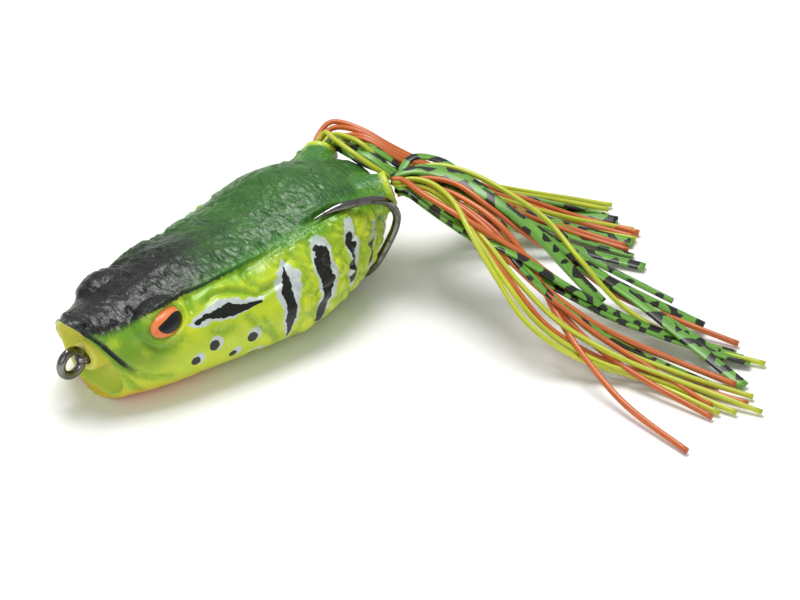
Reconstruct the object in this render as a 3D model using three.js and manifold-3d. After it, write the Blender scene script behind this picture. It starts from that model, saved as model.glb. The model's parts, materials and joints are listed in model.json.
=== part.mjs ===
// Hollow-body topwater popping frog: a soft shell with a cupped mouth, a double hook that passes
// through it with a keel weight moulded on its shank, and two strand legs held by collars.
// Millimetres, +Z up, the nose towards -Y, the frog's left side towards +X.
import * as THREE from 'three';
import { mergeVertices } from 'three/addons/utils/BufferGeometryUtils.js';
import Module from 'manifold-3d';

const wasm = await Module();
wasm.setup();

// ---- Driving dimensions ----
const FRAME_CENTRE_Y = 30.52; // distance from the upper lip to the middle of the whole lure
const WALL = 1.6; // thickness of the soft shell
const BELLY_POWER = 2.5; // roundness of the belly's section
const CHIN_CURVE = 1.5; // how the chin's set-back grows from the upper lip down
const SIDE_CURVE = 1.1; // how the sides' set-back grows from the middle out
const BELLY_FLAT = 0.25; // depth trimmed off the belly, which leaves a narrow flat to rest on

const WIRE_RADIUS = 0.68; // hook wire
const SHANK_HALF_GAP = 0.62; // the two shank wires are brazed side by side
const RING_RADIUS = 2.05; // middle of the line tie's wire
const RING_WIRE_RADIUS = 0.72;
const RING_CENTRE = new THREE.Vector3(0, 1.2, 7.4);

const LEG_MOUTH = new THREE.Vector3(8.2, 61.5, 16.6); // centre of the left leg socket's mouth
const LEG_DIRECTION = new THREE.Vector3(0.5, 0.8, 0.33).normalize();
const SOCKET_BORE_RADIUS = 2.3;
const SOCKET_RIM_RADIUS = 3.0;
const LEG_PIVOT_DEPTH = 1.2; // the leg turns about a point this far inside the mouth
const STRAND_RADIUS = 0.44;

// Body sections from the lip to the tail: [distance along Y, half width, top, bottom,
// height of the widest place, set-back of the chin, set-back of the sides, roundness of the back]
const BODY_SECTIONS = [
  [0, 7.4, 15.1, 0.1, 6.8, 4.3, 3.1, 1.7],
  [3, 8.3, 14.8, 0.1, 7.0, 3.3, 2.2, 1.75],
  [8, 9.7, 14.9, 0, 7.4, 1.7, 0.8, 1.85],
  [14, 11.3, 15.9, 0, 7.7, 0.3, 0, 1.85],
  [22, 13.1, 17.2, 0, 8.3, 0, 0, 1.85],
  [30, 14.5, 17.1, 0, 7.7, 0, 0, 1.8],
  [38, 15.0, 18.1, 0.2, 8.1, 0, 0, 1.9],
  [46, 14.2, 20.5, 0.9, 10.0, 0, 0, 2.1],
  [53, 12.2, 20.2, 2.4, 10.5, 0, 0, 2.1],
  [59, 8.7, 18.7, 5.0, 11.5, 0, 0, 2.1],
  [62, 5.8, 17.3, 8.0, 12.0, 0, 0, 2.1],
  [63.2, 2.6, 15.4, 10.0, 12.6, 0, 0, 2.1],
];
const SKIN_RINGS = [0, 1.5, 3, 5.5, 8, 11, 14, 18, 22, 26, 30, 34, 38, 42, 46, 49.5, 53, 56, 59, 60.7, 62, 63.2];
const SKIN_SIDES = 36;
const HOLLOW_RINGS = [11, 16, 22, 30, 38, 46, 53, 57.5, 60];
const HOLLOW_SIDES = 24;

// ---- Small helpers ----
function vector(values) {
  return new THREE.Vector3(...values);
}

function toSolid(geometry) {
  const bare = geometry.clone();
  bare.deleteAttribute('normal');
  bare.deleteAttribute('uv');
  const merged = mergeVertices(bare, 1e-5);
  return new wasm.Manifold(new wasm.Mesh({
    numProp: 3,
    vertProperties: new Float32Array(merged.attributes.position.array),
    triVerts: new Uint32Array(merged.index.array),
  }));
}

function toGeometry(solid) {
  const mesh = solid.getMesh();
  const geometry = new THREE.BufferGeometry();
  geometry.setAttribute('position', new THREE.BufferAttribute(new Float32Array(mesh.vertProperties), 3));
  geometry.setIndex(new THREE.BufferAttribute(new Uint32Array(mesh.triVerts), 1));
  geometry.computeVertexNormals();
  return geometry;
}

function joinAll(geometries) {
  return geometries.map(toSolid).reduce((whole, piece) => whole.add(piece));
}

function cutAll(solid, geometries) {
  return geometries.map(toSolid).reduce((whole, piece) => whole.subtract(piece), solid);
}

// A closed body through rings of points; each ring has the same number of points.
function loft(rings) {
  const sides = rings[0].length;
  const points = rings.flat();
  const first = points.length;
  points.push(averageOf(rings[0]), averageOf(rings[rings.length - 1]));
  const faces = [];
  for (let ring = 0; ring < rings.length - 1; ring += 1) {
    for (let side = 0; side < sides; side += 1) {
      const a = ring * sides + side;
      const b = ring * sides + (side + 1) % sides;
      faces.push(a, a + sides, b, b, a + sides, b + sides);
    }
  }
  const last = (rings.length - 1) * sides;
  for (let side = 0; side < sides; side += 1) {
    const next = (side + 1) % sides;
    faces.push(first, side, next, first + 1, last + next, last + side);
  }
  const geometry = new THREE.BufferGeometry();
  geometry.setAttribute('position', new THREE.BufferAttribute(new Float32Array(points.flatMap((p) => p.toArray())), 3));
  geometry.setIndex(faces);
  return geometry;
}

function averageOf(ring) {
  const middle = new THREE.Vector3();
  ring.forEach((point) => middle.add(point));
  return middle.divideScalar(ring.length);
}

function tube(points, radius, steps, sides = 8) {
  const outline = new THREE.Shape();
  outline.absarc(0, 0, radius, 0, 2 * Math.PI);
  return new THREE.ExtrudeGeometry(outline, {
    steps,
    curveSegments: sides / 2, // a full circle has twice this many sides
    bevelEnabled: false,
    extrudePath: new THREE.CatmullRomCurve3(points),
  });
}

// Turns a geometry made along +Y so that it lies along a direction, then moves it.
function alongDirection(geometry, direction, place) {
  const turn = new THREE.Quaternion().setFromUnitVectors(new THREE.Vector3(0, 1, 0), direction);
  return geometry.applyQuaternion(turn).translate(place.x, place.y, place.z);
}

// ---- Body sections ----
function slope(index, column) {
  const before = BODY_SECTIONS[Math.max(index - 1, 0)];
  const after = BODY_SECTIONS[Math.min(index + 1, BODY_SECTIONS.length - 1)];
  return (after[column] - before[column]) / (after[0] - before[0]);
}

function sectionAt(distance) {
  let index = BODY_SECTIONS.findIndex((row) => row[0] >= distance) - 1;
  index = Math.max(index, 0);
  const start = BODY_SECTIONS[index];
  const end = BODY_SECTIONS[index + 1];
  const span = end[0] - start[0];
  const t = (distance - start[0]) / span;
  const value = (column) => (2 * t ** 3 - 3 * t ** 2 + 1) * start[column]
    + (t ** 3 - 2 * t ** 2 + t) * span * slope(index, column)
    + (3 * t ** 2 - 2 * t ** 3) * end[column]
    + (t ** 3 - t ** 2) * span * slope(index + 1, column);
  return {
    halfWidth: value(1), top: value(2), bottom: value(3), side: value(4), chinBack: value(5), sideBack: value(6),
    topPower: value(7),
  };
}

function roundedPower(value, power) {
  return Math.sign(value) * Math.abs(value) ** (2 / power);
}

// One ring of the skin, made smaller by inset all round and pushed back by depth.
function bodyRing(distance, sides, inset = 0, depth = 0, lower = 0) {
  const section = sectionAt(distance);
  const ring = [];
  for (let index = 0; index < sides; index += 1) {
    const angle = (2 * Math.PI * (index + 0.5)) / sides;
    const upper = Math.sin(angle) >= 0;
    const power = upper ? section.topPower : BELLY_POWER;
    const reach = upper ? section.top - section.side - inset : section.side - section.bottom - inset + lower;
    const x = (section.halfWidth - inset) * roundedPower(Math.cos(angle), power);
    const z = section.side + reach * roundedPower(Math.sin(angle), power);
    const drop = (section.top - z) / (section.top - section.bottom);
    const y = distance + depth + section.chinBack * Math.max(drop, 0) ** CHIN_CURVE
      + section.sideBack * Math.abs(x / section.halfWidth) ** SIDE_CURVE;
    ring.push(new THREE.Vector3(x, y, z));
  }
  return ring;
}

// ---- Hook ----
// The left wire up to its bend; the right one is its mirror image.
const SHANK_ROUTE = [
  [SHANK_HALF_GAP, 2.9, 7.4],
  [SHANK_HALF_GAP, 8, 7.3],
  [SHANK_HALF_GAP, 16, 6.5],
  [SHANK_HALF_GAP, 28, 5.2],
  [SHANK_HALF_GAP, 40, 4.3],
  [1.3, 46, 3.4],
  [3.4, 51, 2.2],
  [5.6, 54.4, 1.6],
];

// The hook lies rolled in the soft body: its left point rests on the edge of the back, and its
// right point lower, on the flank. The channel under each point starts a little ahead of its tip.
const LEFT_BEND = {
  side: 1,
  route: [
    [7.3, 56.4, 2.1], [9.0, 57.5, 4.5], [10.3, 59.0, 8.5], [11.0, 59.8, 11.4], [11.2, 59.7, 13.8],
    [11.3, 57.7, 16.6], [10.9, 54.5, 18.3], [9.7, 49.2, 18.9], [9.1, 46.6, 18.7],
  ],
  tip: [8.8, 43.6, 18.4],
  barb: [9.4, 48.3, 18.4],
  barbLean: [0.1, 0, -0.32],
  channel: [[8.6, 41.6, 18.6], [8.8, 43.6, 18.5], [9.1, 46.6, 18.75], [9.8, 50, 19.1], [10.9, 54.5, 18.6]],
  channelClearance: 0.4,
};
const RIGHT_BEND = {
  side: -1,
  route: [
    [-7.4, 56.8, 1.7], [-9.6, 58.9, 3.0], [-11.5, 59.8, 5.0], [-12.9, 59.8, 7.0],
    [-14.4, 57.8, 9.4], [-14.9, 54.5, 11.0], [-14.3, 49.2, 12.0], [-13.8, 46.6, 12.1],
  ],
  tip: [-13.4, 43.6, 12.05],
  barb: [-13.85, 48.3, 11.6],
  barbLean: [0.2, 0, -0.2],
  channel: [[-13.3, 41.6, 12.7], [-13.45, 43.6, 12.7], [-13.8, 46.6, 12.8], [-14.4, 50, 12.8], [-15, 54.5, 11.9]],
  channelClearance: 0.75,
};
const HOOK_STEPS = 54;

function bendWire({ side, route }) {
  const shank = SHANK_ROUTE.map(([x, y, z]) => vector([side * x, y, z]));
  return tube([...shank, ...route.map(vector)], WIRE_RADIUS, HOOK_STEPS);
}

function hookPoint({ route, tip }) {
  const base = vector(route[route.length - 1]);
  const axis = vector(tip).sub(base);
  const length = axis.length();
  const overlap = 0.4;
  const cone = new THREE.ConeGeometry(WIRE_RADIUS * 0.98, length + overlap, 8);
  const middle = base.clone().add(vector(tip)).multiplyScalar(0.5).addScaledVector(axis.normalize(), -overlap / 2);
  return alongDirection(cone, axis, middle);
}

function hookBarb({ route, tip, barb, barbLean }) {
  const barbLength = 1.9;
  const backward = vector(route[route.length - 2]).sub(vector(tip)).normalize();
  const lifted = backward.add(vector(barbLean)).normalize();
  return alongDirection(new THREE.ConeGeometry(0.42, barbLength, 6), lifted, vector(barb));
}

function mirrorGeometry(geometry) {
  const copy = geometry.clone().scale(-1, 1, 1);
  const index = copy.index ? Array.from(copy.index.array) : Array.from(copy.attributes.position.array.keys())
    .slice(0, copy.attributes.position.count);
  for (let face = 0; face < index.length; face += 3) {
    [index[face], index[face + 1]] = [index[face + 1], index[face]];
  }
  copy.setIndex(index);
  return copy;
}

function lineTie() {
  const ring = new THREE.TorusGeometry(RING_RADIUS, RING_WIRE_RADIUS, 8, 24);
  return ring.rotateY(Math.PI / 2).translate(...RING_CENTRE.toArray());
}

function doubleHook() {
  const pieces = [lineTie()];
  for (const bend of [LEFT_BEND, RIGHT_BEND]) {
    pieces.push(bendWire(bend), hookPoint(bend), hookBarb(bend));
  }
  return joinAll(pieces);
}

// ---- Keel weight: an egg of metal moulded round the shank ----
const KEEL_CENTRE = vector([0, 34.5, 4.9]);
const KEEL_HALF_SIZE = vector([3.3, 6.2, 2.1]);

function keelWeight() {
  const egg = new THREE.SphereGeometry(1, 20, 12).scale(...KEEL_HALF_SIZE.toArray()).translate(...KEEL_CENTRE.toArray());
  const channelHalfWidth = SHANK_HALF_GAP + WIRE_RADIUS + 0.3;
  const channelHalfHeight = WIRE_RADIUS + 0.3;
  const channel = new THREE.Shape();
  channel.absellipse(0, 0, channelHalfWidth + 0.1, channelHalfHeight + 0.12, 0, 2 * Math.PI);
  const bore = new THREE.ExtrudeGeometry(channel, {
    steps: 6,
    curveSegments: 8,
    bevelEnabled: false,
    extrudePath: new THREE.CatmullRomCurve3([[0, 26, 5.4], [0, 31, 4.95], [0, 36, 4.6], [0, 42.5, 4.1]].map(vector)),
  });
  return cutAll(toSolid(egg), [bore]);
}

// ---- Shell ----
const CUP_DEPTH = 5.6; // from the lip to the floor of the mouth
const LIP_THICKNESS = 0.5;

function mouthCup() {
  const rings = [[-2.5, -0.3], [0, LIP_THICKNESS], [1.6, 1.0], [3.4, 1.8], [CUP_DEPTH - 0.7, 3.0], [CUP_DEPTH, 4.2]];
  return loft(rings.map(([depth, inset]) => bodyRing(0, SKIN_SIDES, inset, depth)));
}

const BOSS_FRONT_Y = 3.7;
const BOSS_BACK_Y = 10.5;
const BOSS_FRONT_RADIUS = 2.3;
const BOSS_BACK_RADIUS = 3.3;
const BOSS_Z = 7.4;

function noseBoss() {
  const length = BOSS_BACK_Y - BOSS_FRONT_Y;
  const cone = new THREE.CylinderGeometry(BOSS_BACK_RADIUS, BOSS_FRONT_RADIUS, length, 20);
  return cone.translate(0, (BOSS_FRONT_Y + BOSS_BACK_Y) / 2, BOSS_Z);
}

function noseBore() {
  const opening = new THREE.Shape();
  opening.absellipse(0, 0, 1.8, 1.25, 0, 2 * Math.PI);
  const bore = new THREE.ExtrudeGeometry(opening, { depth: 14, curveSegments: 8, bevelEnabled: false });
  return bore.rotateX(-Math.PI / 2).translate(0, 1.5, BOSS_Z - 0.1);
}

function browDome(side) {
  return new THREE.SphereGeometry(1, 18, 12).scale(3.7, 5.2, 3.8).translate(side * 6.1, 13.2, 11.6);
}

function hollow() {
  return loft(HOLLOW_RINGS.map((distance) => bodyRing(distance, HOLLOW_SIDES, WALL)));
}

const SOCKET_LENGTH = 9.5;
const SOCKET_BASE_RADIUS = 5.0;

function legSocket(side) {
  const profile = [
    [0, -SOCKET_LENGTH], [SOCKET_BASE_RADIUS, -SOCKET_LENGTH], [4.3, -6], [3.3, -2.6], [SOCKET_RIM_RADIUS - 0.1, -1],
    [SOCKET_RIM_RADIUS, 0], [0, 0],
  ].map(([radius, height]) => new THREE.Vector2(radius, height));
  return placeAtLeg(new THREE.LatheGeometry(profile, 24), side);
}

function legBore(side) {
  const profile = [
    [0, -SOCKET_LENGTH - 1], [SOCKET_BORE_RADIUS, -SOCKET_LENGTH - 1], [SOCKET_BORE_RADIUS, -1.6],
    [SOCKET_RIM_RADIUS - 0.3, 0], [SOCKET_RIM_RADIUS - 0.3, 1], [0, 1],
  ].map(([radius, height]) => new THREE.Vector2(radius, height));
  return placeAtLeg(new THREE.LatheGeometry(profile, 24), side);
}

function placeAtLeg(geometry, side) {
  const placed = alongDirection(geometry, LEG_DIRECTION, LEG_MOUTH);
  return side > 0 ? placed : mirrorGeometry(placed);
}

// The window in the rear of the belly that the two bends come out of, wider towards the tail.
function hookWindow() {
  const outline = new THREE.Shape();
  const edge = [[2.7, 43], [3.1, 46.5], [5.4, 51], [7.3, 54.6], [7.3, 57.6], [3, 58.6]];
  outline.moveTo(...edge[0]);
  edge.slice(1).forEach((corner) => outline.lineTo(...corner));
  [...edge].reverse().forEach(([x, y]) => outline.lineTo(-x, y));
  return new THREE.ExtrudeGeometry(outline, { depth: 8.5, bevelEnabled: false }).translate(0, 0, -2);
}

function pointChannel({ channel, channelClearance }) {
  return tube(channel.map(vector), WIRE_RADIUS + channelClearance, 8);
}

function ventHole() {
  return new THREE.CylinderGeometry(0.6, 0.6, 6, 12).rotateX(Math.PI / 2).translate(0.6, 51.3, 20);
}

function bodyShell() {
  const skin = loft(SKIN_RINGS.map((distance) => bodyRing(distance, SKIN_SIDES, 0, 0, BELLY_FLAT)));
  const floor = new THREE.BoxGeometry(60, 120, 10).translate(0, 30, -5);
  const hooded = joinAll([skin, browDome(1), browDome(-1), legSocket(1), legSocket(-1)]);
  const cupped = cutAll(hooded, [mouthCup(), floor]).add(toSolid(noseBoss()));
  return cutAll(cupped, [
    hollow(), noseBore(), legBore(1), legBore(-1), hookWindow(), pointChannel(LEFT_BEND), pointChannel(RIGHT_BEND), ventHole(),
  ]);
}

// ---- Legs ----
function skirtCollar(side) {
  const profile = [[0, -1.3], [1.6, -1.3], [1.9, -0.6], [1.97, 0], [1.9, 0.6], [1.6, 1.3], [0, 1.3]]
    .map(([radius, height]) => new THREE.Vector2(radius, height - LEG_PIVOT_DEPTH));
  return toSolid(placeAtLeg(new THREE.LatheGeometry(profile, 20), side));
}

const STRAND_STEPS = 18;
const ORANGE = '#c8652a';
const CHARTREUSE = '#b9c92f';
const BARRED_GREEN = '#4f9a3a';

// Each strand: its colour, then its route from the collar to its free end.
const LEFT_STRANDS = [
  [BARRED_GREEN, [7.2, 62.4, 17.4], [8.3, 64.4, 18.1], [9.5, 67, 18.5], [13, 69.2, 18.5], [18.1, 70.4, 17.9],
    [24, 71.1, 15.9], [29.8, 73.2, 12.7], [35.1, 76.8, 9.3], [41, 80.9, 5.9], [49, 84.8, 2.7]],
  [ORANGE, [8.5, 61.9, 16.8], [10.2, 63.9, 17.7], [13.1, 65.7, 18.6], [17.8, 67.3, 18.6], [23.8, 68.2, 16.6],
    [29.9, 70.7, 12.8], [36.3, 74.2, 9], [43.9, 76.7, 5.3], [51.7, 81.2, 2.4], [62.4, 85, 0.7]],
  [CHARTREUSE, [8.4, 62.5, 15.4], [9, 65.4, 16.6], [9.2, 69, 18], [14.4, 71.6, 18.2], [21.1, 73.8, 16.6],
    [29.1, 75.7, 13.5], [37.8, 74.8, 9.8], [46.9, 75, 5.1], [57, 78.1, 1.8], [68.9, 83.6, 0.7]],
  [BARRED_GREEN, [7.9, 61.7, 18.1], [8.9, 63.2, 18.8], [10.3, 65, 19.2], [12.8, 67.3, 18.8], [16.8, 68.7, 18.3],
    [21.8, 69.4, 17.5], [27, 70.4, 15.7], [32.4, 71.3, 13.1], [37.8, 71.9, 9.7], [44.5, 72.4, 6]],
  [BARRED_GREEN, [7.4, 62.8, 16.2], [6.9, 65.2, 17.6], [6.6, 68.6, 18.8], [10.8, 71.7, 17.9], [18.1, 69.9, 16.6],
    [26.3, 66.4, 14.5], [35.5, 64.1, 11.8], [45.1, 65.2, 7.3], [54.8, 69.3, 3], [67.6, 73.4, 0.7]],
  [ORANGE, [9.7, 61.1, 16.8], [12.1, 63, 17.5], [15.9, 64, 17.5], [21.5, 63.7, 17], [28, 61.6, 14.8],
    [35.7, 60.6, 11.2], [43.8, 60.8, 6.5], [52.4, 64, 3], [61.6, 69.2, 1.2], [73.8, 73.2, 0.7]],
  [CHARTREUSE, [9, 61.1, 17.9], [11.3, 63.2, 18.7], [15, 64.2, 18.9], [20.6, 63.2, 18.4], [26.9, 60.7, 16.2],
    [34.3, 58.7, 12.3], [42.2, 57.7, 7.7], [50.5, 60.9, 3.6], [59.6, 66.1, 1.5], [72.2, 68.2, 0.7]],
  [ORANGE, [9.4, 61.7, 15.7], [11.4, 64.1, 16.6], [14.8, 65.8, 17.4], [20.5, 66.4, 17.2], [27.5, 66.7, 15.5],
    [35, 66.1, 11.5], [42.9, 63.4, 7.4], [52, 60.4, 4.5], [62.2, 58.5, 1.7], [75, 57.2, 0.7]],
];
const RIGHT_STRANDS = [
  [CHARTREUSE, [-8.5, 61.9, 16.8], [-8.9, 64.2, 18.2], [-5.9, 64.4, 19.4], [-1, 64.2, 19.7], [2.8, 66.9, 15.7],
    [5.2, 73, 12.4], [6, 80.3, 8.9], [7.7, 88, 5.4], [12, 95.6, 2.4], [20.1, 103.1, 0.7]],
  [BARRED_GREEN, [-7.7, 61.9, 17.9], [-6.8, 63.2, 19.1], [-3.8, 62.4, 19.1], [0.8, 62.4, 17.8], [4.8, 66.4, 15.5],
    [7.9, 72, 13], [9.2, 78.6, 8.8], [11.5, 85.8, 4.9], [15.9, 93.2, 2.1], [24.3, 99.8, 0.7]],
  [CHARTREUSE, [-8.8, 61.2, 17.9], [-8.4, 62.6, 19.8], [-5, 61.7, 20.1], [0.2, 61.3, 19.5], [4.7, 64.2, 16.2],
    [8.3, 69.3, 11.9], [11.4, 76, 7.7], [14.8, 83.8, 4.3], [20.6, 91.1, 1.7], [30.3, 97.6, 0.7]],
  [ORANGE, [-9.6, 61.2, 16.8], [-10.9, 63.5, 17.9], [-10.6, 66.4, 19.4], [-5.8, 68.1, 19.3], [-0.1, 70.2, 17.3],
    [4.2, 75.1, 13.4], [8, 81.3, 9.2], [12.7, 87.9, 5.4], [19.3, 94.1, 2.1], [29.4, 99.4, 0.7]],
  [ORANGE, [-9.2, 61.9, 15.7], [-9.9, 64.2, 16.6], [-7.6, 65.8, 18], [-3.2, 67, 19.2], [2.1, 68.9, 17.2],
    [6.7, 73.2, 13.9], [10.7, 78.4, 9.9], [14.9, 84.3, 5.8], [21.1, 89.8, 2.5], [30.5, 94.6, 0.7]],
  [BARRED_GREEN, [-8.1, 62.6, 15.7], [-7.9, 64.8, 16.3], [-5.1, 65.3, 17.8], [-0.5, 65.6, 18.9], [4.1, 67.8, 16.1],
    [7.7, 71.9, 11.4], [11.9, 77.8, 8.5], [17, 83.5, 5], [23.6, 88.8, 2], [33.5, 93.1, 0.7]],
  [BARRED_GREEN, [-7.3, 62.6, 16.8], [-6.5, 64.2, 17.7], [-3.2, 63.8, 18.4], [1.4, 64.1, 18.3], [6.5, 66.3, 15.3],
    [10.3, 70.8, 12], [14.4, 76.3, 7.9], [20, 81.8, 4.4], [27.2, 87, 1.7], [37.1, 91.9, 0.7]],
];

// ---- Assembly ----
function named(name, solid, color, roughness, metalness) {
  const mesh = new THREE.Mesh(toGeometry(solid), new THREE.MeshStandardMaterial({ color, roughness, metalness }));
  mesh.name = name;
  return mesh;
}

const lure = new THREE.Group();
const placed = new THREE.Group();
placed.position.set(0, -FRAME_CENTRE_Y, 0);
lure.add(placed);

placed.add(named('body_shell', bodyShell(), '#a8c22c', 0.45, 0));
placed.add(named('double_hook', doubleHook(), '#3a3b3d', 0.25, 1));
placed.add(named('keel_weight', keelWeight(), '#6d7074', 0.5, 0.9));
placed.add(named('left_skirt_collar', skirtCollar(1), '#2c2f26', 0.7, 0));
placed.add(named('right_skirt_collar', skirtCollar(-1), '#2c2f26', 0.7, 0));

for (const [leg, strands] of [['left', LEFT_STRANDS], ['right', RIGHT_STRANDS]]) {
  strands.forEach(([color, ...route], index) => {
    const strand = toSolid(tube(route.map(vector), STRAND_RADIUS, STRAND_STEPS));
    placed.add(named(`${leg}_strand_${index + 1}`, strand, color, 0.4, 0));
  });
}

export default lure;
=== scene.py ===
"""The looks of a hollow-body popping frog: painted soft body, black nickel double hook, strand legs.

Shapes are made in millimetres in "lip coordinates": x to the frog's left, y from the upper lip
towards the tail, z up from the surface that the belly rests on. to_frame() turns them into the
frame's metres.
"""

import json
import math
import random

import bmesh
import bpy
import numpy as np
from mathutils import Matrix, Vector, noise
from mathutils.kdtree import KDTree


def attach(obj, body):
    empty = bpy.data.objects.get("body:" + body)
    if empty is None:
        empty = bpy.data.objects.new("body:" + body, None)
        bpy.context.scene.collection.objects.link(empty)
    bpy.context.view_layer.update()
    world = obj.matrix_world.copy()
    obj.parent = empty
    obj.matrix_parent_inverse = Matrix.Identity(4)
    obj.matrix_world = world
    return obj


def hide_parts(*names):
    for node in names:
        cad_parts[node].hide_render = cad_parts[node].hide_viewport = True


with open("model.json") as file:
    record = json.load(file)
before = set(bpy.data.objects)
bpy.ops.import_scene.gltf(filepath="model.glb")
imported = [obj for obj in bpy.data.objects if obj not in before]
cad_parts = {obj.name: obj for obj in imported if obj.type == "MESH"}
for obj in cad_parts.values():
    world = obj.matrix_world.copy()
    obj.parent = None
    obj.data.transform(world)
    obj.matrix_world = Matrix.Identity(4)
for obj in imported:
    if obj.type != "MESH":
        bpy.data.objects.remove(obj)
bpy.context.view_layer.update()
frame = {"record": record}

# ---- Frame ----
MM = 0.001
RING_CENTRE = (0, 1.2, 7.4)
LINE_TIE = next(m for m in frame["record"]["mounts"] if m["name"] == "line_tie")
LIP_Y = LINE_TIE["pos_m"][1] / MM - RING_CENTRE[1]


def to_frame(points):
    return (np.asarray(points, float) + (0, LIP_Y, 0)) * MM


# ---- Camera ----
CAMERA_TARGET = (32.21, 39.55, 15.99)
CAMERA_AZIMUTH = math.radians(45)
CAMERA_ELEVATION = math.radians(33)
CAMERA_DISTANCE = 400
CAMERA_LENS = 118.8


def make_camera():
    data = bpy.data.cameras.new("camera")
    data.lens = CAMERA_LENS
    data.sensor_width = 36
    camera = bpy.data.objects.new("camera", data)
    flat = math.cos(CAMERA_ELEVATION)
    back = Vector((
        math.sin(CAMERA_AZIMUTH) * flat,
        -math.cos(CAMERA_AZIMUTH) * flat,
        math.sin(CAMERA_ELEVATION),
    ))
    camera.location = Vector(to_frame(CAMERA_TARGET)) + back * CAMERA_DISTANCE * MM
    camera.rotation_euler = back.to_track_quat("Z", "Y").to_euler()
    bpy.context.collection.objects.link(camera)
    bpy.context.scene.camera = camera


make_camera()


# ---- Mesh helpers ----
def mesh_object(name, points, faces, material=None):
    mesh = bpy.data.meshes.new(name)
    mesh.from_pydata([tuple(p) for p in points], [], faces)
    mesh.update()
    for polygon in mesh.polygons:
        polygon.use_smooth = True
    piece = bpy.data.objects.new(name, mesh)
    if material:
        mesh.materials.append(material)
    bpy.context.collection.objects.link(piece)
    return piece


def ring_faces(rings, sides):
    """Faces of a closed loft whose points run ring by ring, with flat ends."""
    faces = []
    for ring in range(rings - 1):
        for side in range(sides):
            a = ring * sides + side
            b = ring * sides + (side + 1) % sides
            faces.append((a, b, b + sides, a + sides))
    faces.append(tuple(reversed(range(sides))))
    faces.append(tuple(range((rings - 1) * sides, rings * sides)))
    return faces


def add_float(piece, name, values):
    layer = piece.data.attributes.new(name, "FLOAT", "POINT")
    layer.data.foreach_set("value", np.asarray(values, np.float32))


def add_vectors(piece, name, values):
    layer = piece.data.attributes.new(name, "FLOAT_VECTOR", "POINT")
    layer.data.foreach_set("vector", np.asarray(values, np.float32).ravel())


def smooth_curve(points, steps):
    """Evenly spread points on a Catmull-Rom curve through the given ones."""
    p = np.asarray(points, float)
    p = np.vstack([2 * p[0] - p[1], p, 2 * p[-1] - p[-2]])
    dense = []
    for i in range(1, len(p) - 2):
        t = np.linspace(0, 1, 24, endpoint=False)[:, None]
        a, b, c, d = p[i - 1:i + 3]
        dense.append(0.5 * (2 * b + (c - a) * t + (2 * a - 5 * b + 4 * c - d) * t**2
                            + (3 * b - a - 3 * c + d) * t**3))
    dense = np.vstack(dense + [p[-2:-1]])
    along = np.concatenate([[0], np.cumsum(np.linalg.norm(np.diff(dense, axis=0), axis=1))])
    wanted = np.linspace(0, along[-1], steps)
    return np.stack([np.interp(wanted, along, dense[:, k]) for k in range(3)], 1)


def length_of(points):
    return float(np.linalg.norm(np.diff(points, axis=0), axis=1).sum())


def unit(vectors):
    return vectors / np.maximum(np.linalg.norm(vectors, axis=-1, keepdims=True), 1e-9)


def sweep(line, outline, widths, heights, twist=0.0, up=(0, 0, 1)):
    """Points of a section carried along a line; the section's first axis stays level."""
    tangent = unit(np.gradient(line, axis=0))
    side = unit(np.cross(tangent, np.asarray(up, float)))
    top = np.cross(side, tangent)
    angle = np.broadcast_to(twist, len(line))[:, None]
    across = side * np.cos(angle) + top * np.sin(angle)
    normal = top * np.cos(angle) - side * np.sin(angle)
    rings = []
    for x, y in outline:
        rings.append(line + across * (x * widths[:, None]) + normal * (y * heights[:, None]))
    return np.stack(rings, 1)


def round_outline(sides, power=2.0):
    angles = (np.arange(sides) + 0.5) * 2 * math.pi / sides
    x, y = np.cos(angles), np.sin(angles)
    return np.stack([np.sign(x) * abs(x) ** (2 / power), np.sign(y) * abs(y) ** (2 / power)], 1)


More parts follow.
